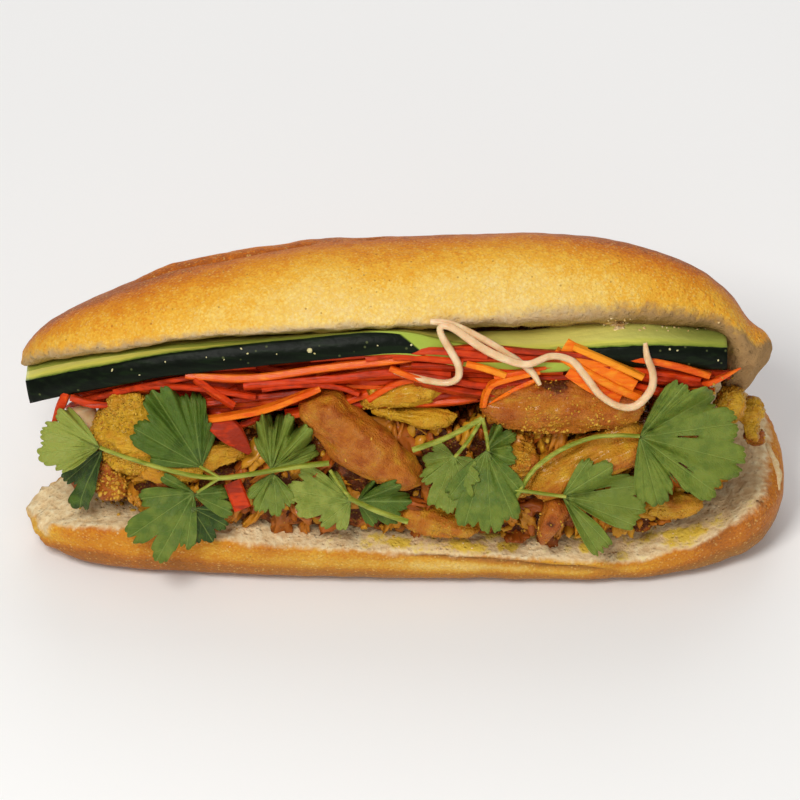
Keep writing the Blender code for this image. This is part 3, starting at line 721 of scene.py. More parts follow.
# %% Cucumber finish
cucumber_look, tree, shader = finish_material("cucumber_wet", Specular_IOR_Level=0.10)
place = own_place(tree)
depth_in = stored(tree, "from_skin")
position = wired(tree, "ShaderNodeSeparateXYZ", {0: place})
lengthwise = pattern(tree, blotches, place, 600.0, 0.3, 0.7, (0.08, 1.0, 1.0))
dapple = pattern(tree, blotches, place, 260.0, 0.3, 0.7)
wavy = swayed(tree, depth_in, dapple, 0.7)
flesh = ramp(tree, remap(tree, wavy, 0.3, 9.0), [(0.0, (92, 124, 40)), (0.12, (196, 200, 90)),
                                                  (0.4, (242, 238, 112)), (1.0, (246, 242, 136))])
flesh = tinted(tree, flesh, lengthwise, 0.16, (190, 204, 82))
greener = remap(tree, position.outputs[0], 0.055, 0.112)
flesh = tinted(tree, flesh, greener, 0.85, (122, 142, 50))
skin = ramp(tree, lengthwise, [(0.0, (5, 11, 3)), (0.6, (9, 17, 5)), (1.0, (16, 28, 9))])
freckles = pattern(tree, grains, place, 230.0, 0.13, 0.06)
skin = tinted(tree, skin, freckles, 0.22, (150, 160, 96))
is_skin = remap(tree, wavy, 0.75, 0.25)
down = times(tree, plus(tree, depth_in, 1.0), -1.0)
along_now = minus(tree, position.outputs[0], times(tree, down, 0.011))
run_out = times(tree, remap(tree, along_now, -0.003, -0.0015), remap(tree, along_now, 0.062, 0.059))
flesh = tinted(tree, flesh, run_out, 0.85, (170, 186, 74))
is_skin = times(tree, is_skin, minus(tree, 1.0, run_out))
surface(tree, shader, mix(tree, is_skin, flesh, skin), is_skin, 0.30, 0.42)
relief(tree, shader, plus(tree, times(tree, lengthwise, 0.3), dapple), 0.10)
settle(cucumber, cucumber_look, "cucumber", "cucumber_slice")

# %% [markdown]
# ## Chicken pieces
# Sixteen torn pieces of turmeric chicken lie in front. Each is its own solid. A fine copy is pushed in
# and out along the run of its fibres: wide folds, then narrow ridges, then small grains where minced
# lemongrass sticks. The pieces differ in how brown they are fried, so each has a tone from 0, yellow,
# to 1, deep brown, and a share of grains.

# %% Chicken measures
# x, up, out and turn in degrees say where each piece's own lengthwise axis lies
CHICKEN = (
    (-88.8, 42.5, -6.0, 8, 0.10, 1.0), (-76.0, 33.5, -4.0, -6, 0.15, 0.3), (-96.0, 26.0, -8.0, 0, 0.66, 0.7),
    (-60.5, 36.5, -4.0, 5, 0.30, 0.3), (-13.8, 42.6, 1.5, -38, 0.62, 0.1), (-4.0, 58.0, -3.5, 4, 0.16, 0.5),
    (4.0, 51.0, -3.5, -6, 0.08, 0.3), (52.6, 56.5, -2.5, -3, 0.62, 0.36), (48.5, 13.5, -0.5, 68, 0.74, 0.2),
    (62.5, 34.0, -3.5, 28, 0.38, 0.2), (37.5, 33.0, -2.0, 0, 0.45, 1.0), (13.0, 11.5, -6.0, -16, 0.40, 0.5),
    (89.0, 16.0, -7.0, 4, 0.28, 0.4), (108.0, 47.5, -17.0, 0, 0.10, 0.8), (115.5, 39.8, -25.0, 6, 0.16, 0.8),
    (117.5, 29.5, -31.0, 0, 0.70, 0.3),
)

# Share of the fibre ridges on the pieces that show a smoother fried face
ROUGH = {1: 0.5, 2: 0.35, 5: 0.15, 8: 0.4, 9: 0.4, 10: 0.45}
# Pieces drawn out lengthwise, and moved along their run in mm
STRETCH = {5: 1.09, 6: 1.30, 7: 1.25}
SLIDE = {6: 4.0, 7: 1.6}
# A piece folded over: where the fold lies, how deep it is, and how much narrower the flap beyond it is
FOLDED = {5: (-9.5, 1.3, 0.26)}
# How much a piece widens towards its ends, where it was cut rather than torn
BLUNT = {5: 0.34, 6: 0.2, 7: 0.15, 8: 0.16, 9: 0.10, 10: 0.22, 12: 0.2}
# Where one piece caught the flame: x, rise, and the square of its reach
BURNT_X, BURNT_RISE, BURNT_SPREAD = 50.3, 42.0, 16.0


def own_axes(x, up, out, turn):
    """A piece's middle and its three directions: along, across and outwards."""
    swing = Matrix.Rotation(-MOUTH_TILT, 3, "X") @ Matrix.Rotation(-math.radians(turn), 3, "Y")
    return mouth_point(x, up, out), np.array(swing)


# %% Shape each piece
meat = []
for number, (px, up, out, turn, tone, grain) in enumerate(CHICKEN, 1):
    node = f"chicken_piece_{number:02d}"
    piece = fine_copy(node, f"{node}_torn", 0.55, 5)
    spots, outward = points_of(piece)
    centre, axes = own_axes(px, up, out, turn)
    local = (spots - np.array(centre)) @ axes
    reach = np.abs(local[:, 0]) / np.abs(local[:, 0]).max()
    local[:, 0] = local[:, 0] * STRETCH.get(number, 1.0) + SLIDE.get(number, 0.0)
    local[:, 1:] *= (1 + BLUNT.get(number, 0.0) * ease(0.35, 0.85, reach))[:, None]
    fold_at, fold_depth, narrower = FOLDED.get(number, (0.0, 0.0, 0.0))
    lower_side = 1 - ease(-5.0, 4.0, local[:, 2])
    flap = lower_side * ease(-fold_at - 1.5, -fold_at + 3.0, -local[:, 0])
    local[:, 1:] *= (1 - narrower * flap)[:, None]
    spots = np.array(centre) + local @ axes.T
    folds = bumps(local, (16.0, 6.0, 6.5), number * 3.1)
    ridges = bumps(local, (10.0, 2.1, 2.1), number * 5.7)
    grit = bumps(local, 2.0, number * 7.3)
    rough = ROUGH.get(number, 0.8)
    rise = (2.0 + 1.4 * rough) * folds - 1.7 * rough * np.abs(ridges) + 0.35 * rough
    rise += grain * 1.2 * np.abs(grit)
    rise -= fold_depth * (0.35 + 0.65 * lower_side) * hump(local[:, 0] + 0.13 * local[:, 2], fold_at, 2.0)
    move_points(piece, spots + outward * rise[:, None])
    rise_at = (spots[:, 1] + spots[:, 2]) * 0.7071
    burnt = 0.80 * np.exp(-((spots[:, 0] - BURNT_X) ** 2 + (rise_at - BURNT_RISE) ** 2) / BURNT_SPREAD)
    shade = tone - 0.04 + 0.22 * folds + 0.18 * bumps(local, 4.0, number * 2.3) + burnt
    keep(piece.data, "run", local + number * 31.0)
    keep(piece.data, "tone", np.clip(shade, 0, 1))
    keep(piece.data, "grain", grain * ease(-0.25, 0.2, bumps(local, 7.0, number * 9.1)))
    meat.append(piece)
print(len(meat), "chicken pieces shaped")

# %% [markdown]
# The meat's finish reads the stored place along the fibres, so that its streaks follow each piece. A
# colour scale runs from turmeric yellow through amber to fried brown. A thin coat gives the wet
# shine of the marinade, broken up where grains stick.

# %% Chicken finish
chicken_look, tree, shader = finish_material("turmeric_chicken", Specular_IOR_Level=0.18, Coat_Roughness=0.16)
run = stored(tree, "run", "Vector")
streaks = pattern(tree, blotches, run, 0.9, 0.3, 0.7, (0.16, 1.0, 1.0))
clouds = pattern(tree, blotches, run, 0.28, 0.3, 0.7)
dots = pattern(tree, grains, run, 0.95, 0.45, 0.15)
tone = swayed(tree, stored(tree, "tone"), streaks, 0.08)
tone = swayed(tree, tone, clouds, 0.26)
meat_colour = ramp(tree, tone, [(0.0, (212, 162, 38)), (0.3, (200, 138, 32)), (0.55, (186, 108, 28)),
                                (0.78, (166, 84, 24)), (1.0, (88, 40, 13))])
gritty = times(tree, dots, stored(tree, "grain"))
meat_colour = tinted(tree, meat_colour, gritty, 0.5, (218, 172, 60))
surface(tree, shader, meat_colour, gritty, 0.36, 0.62)
join(tree, remap(tree, clouds, 0.2, 0.9, 0.20, 0.02), shader, "Coat Weight")
crinkle = pattern(tree, blotches, run, 1.6, 0.25, 0.75)
fibre = times(tree, streaks, plus(tree, 0.25, times(tree, stored(tree, "grain"), 0.7)))
relief(tree, shader, plus(tree, plus(tree, fibre, times(tree, crinkle, 0.6)), gritty), 0.55)
for number, piece in enumerate(meat, 1):
    settle(piece, chicken_look, "chicken", f"chicken_piece_{number:02d}")

# %% [markdown]
# ## Chopped filling
# Behind and between the large pieces lies a bed of finely chopped chicken. In the frame it is one
# solid out to its uneven outline. Here it becomes a slightly smaller rough core, and hundreds of
# small torn scraps are scattered over it by Geometry Nodes, turned every way. The core is coloured
# near the darkest fried brown and darker still in its hollows, as painted shade for the gaps
# between the scraps.

# %% Filling core
core = fine_copy("chicken_filling", "chopped_chicken_core", 1.2, 3, 1.2)
spots, outward = points_of(core)
rise = 1.3 * bumps(spots, 5.0, 1.0) + 0.9 * bumps(spots, 2.6, 2.0)
move_points(core, spots + outward * rise[:, None])
keep(core.data, "run", spots)
# Painted shade: the core's tone is set near the darkest brown, darker where its surface sinks.
keep(core.data, "tone", np.clip(1.05 - 0.25 * rise, 0, 1))
keep(core.data, "grain", np.clip(0.5 + 0.5 * bumps(spots, 6.0, 4.0), 0, 1))
settle(core, chicken_look, "chopped_chicken", "chicken_filling")


# %% Small source shapes for scattering
def lump(name, size, seed, stretch, levels=2, rough=0.55):
    """A little torn lump, hidden, used as a source for scattering."""
    tools = bmesh.new()
    bmesh.ops.create_icosphere(tools, subdivisions=levels, radius=0.5)
    for v in tools.verts:
        d = v.co.copy()
        v.co = Vector([c * s for c, s in zip(d, stretch)]) * size * MM * (
            1 + rough * noise.noise(d * (2.2 + 1.8 * rough) + Vector((seed, seed * 1.7, 0))))
    mesh = bpy.data.meshes.new(name)
    tools.to_mesh(mesh)
    tools.free()
    mesh.shade_smooth()
    return bpy.data.objects.new(name, mesh)


def source_group(name, size, stretches, seed_step, *more, seed=0):
    """A collection of little lumps that is never part of the scene."""
    group = bpy.data.collections.new(name + "s")
    for k, stretch in enumerate(stretches):
        group.objects.link(lump(f"{name}_{k}", size, k * seed_step + seed, stretch, *more))
    return group


# %% [markdown]
# One tree serves everything that is scattered: scraps, shreds and grains. It spreads points over a
# surface with a least distance between them, leaves out those where a stored mask is low, sets a
# random source shape on each, and makes the result real before it gives it a material.


# %% How every tree starts and ends
def growing_tree(name, *inputs):
    """A tree with named inputs that works on geometry, its inputs' outputs and its exit."""
    tree = bpy.data.node_groups.new(name, "GeometryNodeTree")
    for label, kind, value in (("Geometry", "Geometry", None), *inputs):
        made = tree.interface.new_socket(label, in_out="INPUT", socket_type="NodeSocket" + kind)
        if value is not None:
            made.default_value = value
    tree.interface.new_socket("Geometry", in_out="OUTPUT", socket_type="NodeSocketGeometry")
    return tree, add(tree, "NodeGroupInput").outputs, add(tree, "NodeGroupOutput")


def end_tree(tree, geometry, material, leave):
    """Make the result real, give it its material and send it out."""
    real = wired(tree, "GeometryNodeRealizeInstances", {"Geometry": geometry})
    dress = wired(tree, "GeometryNodeSetMaterial", {"Geometry": real.outputs[0], "Material": material})
    join(tree, dress.outputs[0], leave, 0)


def read_number(tree, name):
    """A number stored on the points, inside a tree."""
    return wired(tree, "GeometryNodeInputNamedAttribute", {"Name": name}, data_type="FLOAT").outputs[0]


# %% Scatter tree
FULL_TURN = 6.28


def scatter_tree(seed):
    """Little shapes set on a surface, each turned, sized and shaded at random."""
    tree, entry, leave = growing_tree(
        "scatter_pieces", ("Shapes", "Collection", None), ("Material", "Material", None),
        ("Spacing", "Float", 0.002), ("Density", "Float", 2e5), ("Smallest", "Float", 0.6),
        ("Largest", "Float", 1.3), ("Sunk", "Float", 0.0))
    spread = wired(tree, "GeometryNodeDistributePointsOnFaces", {
        "Mesh": entry["Geometry"], "Distance Min": entry["Spacing"], "Density Max": entry["Density"],
        "Density Factor": read_number(tree, "scatter"), "Seed": seed}, distribute_method="POISSON")
    sink = wired(tree, "ShaderNodeVectorMath", {0: spread.outputs["Normal"], "Scale": entry["Sunk"]},
                 operation="SCALE")
    shift = wired(tree, "GeometryNodeSetPosition", {"Geometry": spread.outputs["Points"],
                                                    "Offset": sink.outputs[0]})
    shapes = wired(tree, "GeometryNodeCollectionInfo", {"Collection": entry["Shapes"],
                                                        "Separate Children": True, "Reset Children": True})
    turn = wired(tree, "FunctionNodeRandomValue", {1: (FULL_TURN,) * 3, "Seed": seed + 1},
                 data_type="FLOAT_VECTOR")
    size = wired(tree, "FunctionNodeRandomValue", {2: entry["Smallest"], 3: entry["Largest"],
                                                   "Seed": seed + 2}, data_type="FLOAT")
    put = wired(tree, "GeometryNodeInstanceOnPoints", {
        "Points": shift.outputs[0], "Instance": shapes.outputs[0], "Pick Instance": True,
        "Rotation": turn.outputs[0], "Scale": size.outputs[1]})
    shade = wired(tree, "FunctionNodeRandomValue", {"Seed": seed + 3}, data_type="FLOAT")
    tint = wired(tree, "GeometryNodeStoreNamedAttribute", {
        "Geometry": put.outputs[0], "Name": "tone", "Value": shade.outputs[1]},
        data_type="FLOAT", domain="INSTANCE")
    end_tree(tree, tint.outputs[0], entry["Material"], leave)
    return tree


# %% Run a tree
def grown(name, host, tree, **settings):
    """Run a tree on a host mesh and return its result as a piece of its own."""
    carrier = in_scene(name, host)
    step = carrier.modifiers.new("grow", "NODES")
    step.node_group = tree
    names = {item.name: item.identifier for item in tree.interface.items_tree
             if item.item_type == "SOCKET" and item.in_out == "INPUT"}
    for label, value in settings.items():
        step[names[label]] = value
    return baked(carrier)


def masked_copy(piece, mask):
    """A piece's mesh with a mask that says where things may be scattered on it."""
    mesh = piece.data.copy()
    keep(mesh, "scatter", mask)
    return mesh


# %% Scraps over the filling
scraps = source_group("scrap", 4.4, ((1.7, 0.6, 0.5), (1.2, 0.9, 0.5), (1.0, 0.8, 0.7), (2.0, 0.5, 0.4)), 2.9)
shreds = source_group("shred", 9.0, ((2.2, 0.55, 0.35), (1.5, 0.8, 0.35), (1.9, 0.5, 0.45), (1.2, 0.9, 0.4),
                                     (2.6, 0.45, 0.35)), 3.3, 3, 1.0, seed=1)
spots, outward = points_of(core)
facing = outward @ np.array(LEAF_OUT)
outside = ease(-0.1, 0.3, facing) + ease(100, 106, np.abs(spots[:, 0]))
# Where the scraps thin out, the dark core shows through as painted shade.
pockets = 0.10 + 0.90 * ease(-0.20, -0.04, bumps(spots, 8.0, 6.0))
scrap_mesh = grown("chopped_chicken_scraps", masked_copy(core, np.clip(outside, 0, 1) * pockets),
                   scatter_tree(11), Shapes=scraps, Material=chicken_look, Spacing=0.0033, Density=2.2e5,
                   Smallest=0.5, Largest=1.2, Sunk=0.0002)
shred_mesh = grown("chopped_chicken_shreds", masked_copy(core, np.clip(outside, 0, 1)),
                   scatter_tree(31), Shapes=shreds, Material=chicken_look, Spacing=0.0066, Density=6e4,
                   Smallest=0.6, Largest=1.3, Sunk=-0.0004)

# %% Press back what sticks out
PRESSED_SHARE = 0.3                     # what is left of the part that sticks out
core_skin = BVHTree.FromPolygons([Vector(s) for s in spots], [tuple(p.vertices) for p in core.data.polygons])
for scattered, reach in ((scrap_mesh, 2.5), (shred_mesh, 3.0)):
    spots, outward = points_of(scattered)
    for k, spot in enumerate(spots):
        near, away, _, far = core_skin.find_nearest(Vector(spot))
        if far > reach and (Vector(spot) - near).dot(away) > 0:
            spots[k] = near.lerp(Vector(spot), (reach + PRESSED_SHARE * (far - reach)) / far)
    grip = 1.0 * bumps(spots, 2.4, 3.0) + 0.6 * bumps(spots, 1.2, 5.0)
    move_points(scattered, spots + outward * grip[:, None])
    keep(scattered.data, "run", spots)
    shades = 0.18 + 0.66 * kept(scattered.data, "tone")
    scattered.data.attributes["tone"].data.foreach_set("value", shades)
    keep(scattered.data, "grain", np.full(len(spots), 0.4))
    settle(scattered, None, "chopped_chicken")

# %% [markdown]
# Minced lemongrass and garlic stick to the fried pieces as pale gold grains. They are scattered with
# the same tree, only where the stored grain share is high.

# %% Grains on the meat
grain_shapes = source_group("grain", 1.0, ((1.3, 0.8, 0.7), (1.0, 1.0, 0.8), (1.8, 0.6, 0.6)), 4.1, 1)
hosts = bmesh.new()
for piece in meat:
    hosts.from_mesh(piece.data)
host_mesh = bpy.data.meshes.new("grain_host")
hosts.to_mesh(host_mesh)
hosts.free()
keep(host_mesh, "scatter", np.clip(kept(host_mesh, "grain") * 1.2 - 0.1, 0, 1))
grain_look, tree, shader = finish_material("minced_lemongrass", Roughness=0.42, Specular_IOR_Level=0.25)
place = own_place(tree)
mottled = pattern(tree, blotches, place, 900.0, 0.3, 0.7)
grain_tone = plus(tree, times(tree, stored(tree, "tone"), 0.7), times(tree, mottled, 0.3))
join(tree, ramp(tree, grain_tone, [(0.0, (168, 106, 28)), (0.5, (200, 146, 40)), (1.0, (222, 178, 66))]),
     shader, "Base Color")
relief(tree, shader, mottled, 0.2)
grain_mesh = grown("minced_lemongrass_grains", host_mesh, scatter_tree(23), Shapes=grain_shapes,
                   Material=grain_look, Spacing=0.00085, Density=9e5, Smallest=0.5, Largest=1.15,
                   Sunk=0.00005)
settle(grain_mesh, None, "chicken")

# %% [markdown]
# ## Pickled carrot
# Carrot cut into thin strips is heaped between the chicken and the cucumber. Strips are the same
# thing over and over along different paths, so Geometry Nodes make them: each path is a line with a
# width, a twist and a colour of its own, and the tree gives it a rectangular cut section. The strips
# that lie on top are listed one by one, and a seeded random heap fills in behind them.


# %% Strip tree
def strip_tree():
    """Lines turned into cut strips, with a rectangular section and a girth and turn for each."""
    tree, entry, leave = growing_tree(
        "cut_strips", ("Material", "Material", None), ("Spacing", "Float", 0.0016), ("Wide", "Float", 0.001),
        ("Thick", "Float", 0.0005), ("Corner", "Float", 0.0001), ("Round", "Bool", False))
    line = wired(tree, "GeometryNodeMeshToCurve", {0: entry["Geometry"]})
    bent = wired(tree, "GeometryNodeCurveSplineType", {0: line.outputs[0]}, spline_type="CATMULL_ROM")
    even = wired(tree, "GeometryNodeResampleCurve", {"Curve": bent.outputs[0], "Length": entry["Spacing"]},
                 mode="LENGTH")
    face = wired(tree, "GeometryNodeSetCurveNormal", {"Curve": even.outputs[0], "Normal": tuple(LEAF_OUT)},
                 mode="FREE")
    twist = wired(tree, "GeometryNodeSetCurveTilt", {"Curve": face.outputs[0],
                                                     "Tilt": read_number(tree, "turn")})
    cut = wired(tree, "GeometryNodeCurvePrimitiveQuadrilateral", {"Width": entry["Wide"],
                                                                  "Height": entry["Thick"]})
    soft = wired(tree, "GeometryNodeFilletCurve", {"Curve": cut.outputs[0], "Count": 1,
                                                   "Radius": entry["Corner"]}, mode="POLY")
    skin = wired(tree, "GeometryNodeCurveToMesh", {
        "Curve": twist.outputs[0], "Profile Curve": soft.outputs[0], "Scale": read_number(tree, "girth"),
        "Fill Caps": True})
    shade = wired(tree, "GeometryNodeSetShadeSmooth", {"Geometry": skin.outputs[0],
                                                       "Shade Smooth": entry["Round"]})
    end_tree(tree, shade.outputs[0], entry["Material"], leave)
    return tree


cut_strips = strip_tree()


# %% Lines for the strip tree
def lines(name, routes):
    """A mesh of open lines. Each route is (points in mm, girth per point, tone, turn)."""
    mesh = bpy.data.meshes.new(name)
    points, edges, girths, tones, turns = [], [], [], [], []
    for route, girth, tone, turn in routes:
        start = len(points)
        points += [placed(p) for p in route]
        edges += [(start + k, start + k + 1) for k in range(len(route) - 1)]
        girths += girth
        tones += [tone] * len(route)
        turns += [turn] * len(route)
    mesh.from_pydata(points, edges, [])
    for label, values in (("girth", girths), ("tone", tones), ("turn", turns)):
        keep(mesh, label, values)
    return mesh


# %% Routes of the strips on top
# Stops (x, rise, out), width in mm, tone from deep red 0 to yellow 1, and 1 where the far end is pointed
TOP_STRIPS = (
    (((-71, 45.0, 1), (-50, 44.0, 2.5), (-24, 47.5, 2.5), (-1, 50, 2.5), (13, 52.5, 2)), 4.8, 0.62, 0),
    (((-52, 41.5, 2), (-24, 43.5, 3), (-4, 45.5, 3), (16, 45.0, 2.5)), 4.5, 0.18, 0),
    (((-68, 44.0, 2), (-62, 39.5, 2.5), (-55, 35.0, 2)), 4.0, 0.22, 0),
    (((-65, 30.5, 1), (-47, 33.5, 4), (-33, 38.5, 4.5), (-27, 41, 4)), 3.8, 0.68, 0),
    (((-109, 38.0, -6), (-101, 35.6, -4.2), (-91, 35.8, -3.2)), 4.8, 0.16, 1),
    (((-108, 36.5, -8), (-98, 38.5, -5), (-86, 41.5, -2), (-70, 44.5, 0)), 3.7, 0.08, 0),
    (((-110.4, 39.2, -8.0), (-112.6, 34.5, -8.2), (-116, 26.5, -9.5)), 5.6, 0.32, 1),
    (((-112, 44.0, -8), (-90, 44, -3), (-70, 46.5, 0), (-48, 48, 1)), 3.7, 0.12, 0),
    (((-95, 40.0, -4), (-82, 41.5, -1), (-66, 41, 1), (-48, 38, 2)), 3.7, 0.16, 0),
    (((-12, 50.6, 3.0), (-1, 52.6, 3.8), (9.4, 53.2, 4.4), (19, 52.6, 4.6), (28, 51.6, 4.6)), 5.0, 0.22, 0),
    (((-3, 51.6, 4.0), (8, 51.0, 4.7), (20, 49.6, 4.8)), 4.4, 0.30, 0),
    (((66, 50.0, -1.5), (86, 48.2, -3.0), (108, 45.4, -8.0)), 6.0, 0.10, 0),
    (((-2, 51.0, 2.5), (14, 51.5, 3.5), (30, 52, 4.5), (48, 51, 4)), 3.4, 0.06, 0),
    (((-4, 46.0, 3), (12, 44.0, 3.5), (28, 41.5, 3), (42, 43.5, 2)), 4.5, 0.12, 0),
    (((3, 48.0, 3.5), (20, 47.5, 3.5), (36, 46.5, 3), (50, 48, 3)), 3.7, 0.14, 0),
    (((4, 43.5, 2.5), (18, 40.0, 2.5), (33, 38, 2)), 4.2, 0.05, 0),
    (((11, 53.5, 4.6), (26, 54.2, 4.8), (42, 52.8, 5.0), (58, 51.8, 5.0), (66, 50, 4)), 3.4, 0.10, 0),
    (((18, 50.0, 4.4), (34, 50.3, 4.8), (52, 50.2, 4.8), (68, 47.5, 4)), 3.4, 0.16, 0),
    (((-4, 47.5, 4.0), (4, 44.5, 4.4), (10, 43.5, 4.2)), 4.0, 0.55, 0),
    (((21, 49.0, 4.8), (28, 47.2, 5), (34, 45.0, 4.8)), 4.5, 0.86, 0),
    (((45, 46.5, 4.0), (36, 44.4, 5.2), (29.5, 42.2, 5.6), (27.2, 38.5, 5.4), (26.5, 34.5, 4.6)),
     3.4, 0.76, 0),
    (((44, 43.5, 3.5), (36, 39.8, 5.0), (28, 35.4, 4.6)), 2.6, 0.70, 1),
    (((47, 48.0, 3.5), (39, 46.5, 4.5), (30, 44.5, 5)), 2.9, 0.58, 0),
    (((56, 54.5, 4.0), (67, 50.0, 5.6), (79, 44.5, 4.6)), 4.2, 1.00, 0),
    (((50, 53.0, 3.6), (59, 47.5, 5.2), (69, 42.0, 5.4), (78, 38.0, 4)), 5.5, 0.80, 0),
    (((54, 50.0, 3.2), (61, 44.5, 4.4), (68, 39.5, 4)), 4.0, 0.60, 0),
    (((68, 51.5, 2.5), (80, 50.3, 3.2), (91, 48.0, 2.4), (101, 45.0, 0)), 4.5, 0.58, 0),
    (((93, 41.0, -2), (102, 43.2, -1), (111, 47.5, -2)), 3.7, 0.55, 1),
    (((70, 46.5, 1.5), (85, 43.5, 2.0), (99, 41.5, -1)), 4.0, 0.12, 0),
    (((84, 43.0, -1), (96, 44.5, -4), (107, 45.6, -9)), 4.2, 0.15, 0),
    (((74, 42.0, 1.5), (86, 39.5, 1), (96, 38.5, -1)), 3.7, 0.20, 0),
    (((60, 46.5, 2.5), (74, 47.5, 2.5), (88, 45.5, 1), (98, 44, -1)), 3.4, 0.30, 0),
    (((-46, 40.5, 2.0), (-34, 42, 2.6), (-22, 41.5, 2.4), (-14, 39, 2)), 3.4, 0.14, 0),
    (((-30, 50.5, 2.0), (-12, 52, 2.4), (6, 53.2, 2)), 3.2, 0.20, 0),
    (((-90, 45.5, -2), (-70, 48.8, 0.5), (-50, 50.2, 1.2), (-34, 51, 1)), 3.2, 0.30, 0),
)
# Broad slabs cut from near the root's side
SLABS = (
    (((-62, 31.0, 0.5), (-56, 26.0, 2.0), (-50, 19.5, 1.0)), 8.0, 0.02, 1),
    (((-56, 10.0, -1.0), (-52.5, 1.0, 0.5)), 6.4, 0.18, 0),
    (((55, 47.5, 3.6), (63, 42.5, 4.8), (72, 38.5, 4.0)), 7.0, 0.72, 0),
    (((53, 55.0, 3.8), (64, 48.0, 5.2), (76, 41.0, 4.6)), 5.6, 0.84, 0),
)


# %% Strips laid on top
END_GIRTH, POINT_GIRTH = 0.92, 0.22


def laid(stops, width, tone, pointed, turn):
    """A strip's route, a little thinner at both ends, or drawn to a point at the far one."""
    girth = [width * (END_GIRTH if k in (0, len(stops) - 1) else 1.0) for k in range(len(stops))]
    if pointed:
        girth[-1] = width * POINT_GIRTH
    return [slope_point(*stop) for stop in stops], girth, tone, turn


draw = random.Random(41)
hand_laid = [laid(*strip, draw.uniform(-0.5, 0.5)) for strip in TOP_STRIPS]
print(len(hand_laid), "strips laid by hand")

# %% The heap behind them
HEAP_LOW = ((-114, 45.0), (-95, 52.0), (-60, 46.0), (-20, 52.0), (10, 55.0), (50, 58.0), (104, 54.0))
HEAP_REACH = ((-114, -15.0), (-95, -6.0), (-60, -1.0), (0, 0.5), (60, 1.0), (90, -3.0), (104, -7.0))
STRIP_COUNT, STOPS_EACH = 72, 6


def random_strip():
    """A bowed strip somewhere in the heap, under the cucumber."""
    length = draw.uniform(26, 60)
    start = draw.uniform(-112, 103 - length)
    level, slope, bow = draw.random(), draw.uniform(-0.28, 0.28), draw.uniform(-0.22, 0.22)
    depth = 1.5 + draw.uniform(0.0, 12.0) * draw.random()
    stops = []
    for k in range(STOPS_EACH):
        f = k / (STOPS_EACH - 1)
        x = start + length * f
        low = along(HEAP_LOW, x)
        high = along([s[:2] for s in SLICE_EDGE], x) - SLICE_THICKNESS - 1.5
        share = min(max(level + slope * (f - 0.5) + bow * math.sin(math.pi * f), 0.0), 1.0)
        stops.append(mouth_point(x, low + (high - low) * share, along(HEAP_REACH, x) - depth))
    girth = [draw.uniform(3.0, 4.9)] * STOPS_EACH
    return stops, girth, draw.choice((0.0, 0.08, 0.15, 0.25, 0.4, 0.55)), draw.uniform(-0.7, 0.7)


heap = [random_strip() for _ in range(STRIP_COUNT)]

# %% [markdown]
# Fresh carrot is bright orange, and pickled strips seen edge-on look deep red where they shade each
# other. The tone stored on each strip picks its colour, long faint streaks follow the cut, and a wet
# coat gives the small sharp glints.

# %% Carrot finish
carrot_look, tree, shader = finish_material("pickled_carrot", Specular_IOR_Level=0.13, Coat_Weight=0.04,
                                            Coat_Roughness=0.08)
place = own_place(tree)
streaks = pattern(tree, blotches, place, 900.0, 0.3, 0.7, (0.12, 1.0, 1.0))
clouds = pattern(tree, blotches, place, 200.0, 0.3, 0.7)
tone = swayed(tree, stored(tree, "tone"), clouds, 0.22)
tone = swayed(tree, tone, streaks, 0.22)
carrot_colour = ramp(tree, tone, [(0.0, (150, 42, 16)), (0.25, (200, 58, 16)), (0.55, (224, 88, 18)),
                                  (0.8, (238, 120, 22)), (1.0, (242, 150, 34))])
surface(tree, shader, carrot_colour, streaks, 0.24, 0.42)
relief(tree, shader, streaks, 0.12)

# %% Make the strips
carrot_mesh = grown("carrot_cut_strips", lines("carrot_lines", hand_laid + heap), cut_strips,
                    Material=carrot_look)
carrot_mesh.data.shade_flat()
slab_mesh = grown("carrot_slabs", lines("slab_lines", [laid(*slab, 0.0) for slab in SLABS]), cut_strips,
                  Material=carrot_look, Wide=0.00028, Thick=0.001)
carrot_core = fine_copy("carrot_strips", "carrot_heap_core", 1.6, 2, 3.0)
spots, outward = points_of(carrot_core)
keep(carrot_core.data, "tone", 0.2 * np.abs(bumps(spots, (14.0, 2.0, 2.0), 3.0)))
settle(carrot_core, carrot_look, "carrot", "carrot_strips")
for piece in (carrot_mesh, slab_mesh):
    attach(piece, "root")
    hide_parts("carrot_strips")
    print(piece.name, len(piece.data.polygons), "faces")

# %% [markdown]
# ## Pickled daikon
# Two long pale strips hang over the cucumber and the carrot, and two cut slices show at the ends. The
# strips follow the routes of their solids through the same strip tree, with a rounder, softer
# section. Pickled daikon is nearly see-through, so light is let into it and its surface is wet.

# %% Daikon measures
STRIP_ROUTES = (
    ((9.2, 87.6, 3.2), (15.8, 86.8, 3.8), (25.7, 82.5, 5.0), (35.5, 76.8, 6.4), (42.1, 71.1, 6.1),
     (45.1, 66.2, 6.4)),
    ((-2.6, 70.3, 4.5), (5.9, 68.0, 5.2), (14.1, 66.8, 5.8), (18.1, 68.8, 6.5), (18.4, 73.5, 7.2),
     (15.8, 79.0, 7.2), (12.8, 84.2, 6.4), (12.7, 87.2, 6.4), (16.6, 86.9, 7.0), (25.7, 80.7, 8.4),
     (33.2, 77.1, 9.3), (40.8, 74.9, 9.0), (48.4, 76.9, 7.0), (54.3, 75.8, 6.6), (57.9, 72.6, 7.0),
     (61.5, 68.1, 8.6), (65.1, 63.8, 9.8), (71.1, 60.1, 9.8), (76.6, 60.0, 8.8), (81.3, 65.1, 7.8),
     (81.9, 70.8, 7.6), (79.9, 77.2, 7.8), (79.3, 81.8, 7.2)),
)
SLICE_GROWTH = (1.22, 1.05)

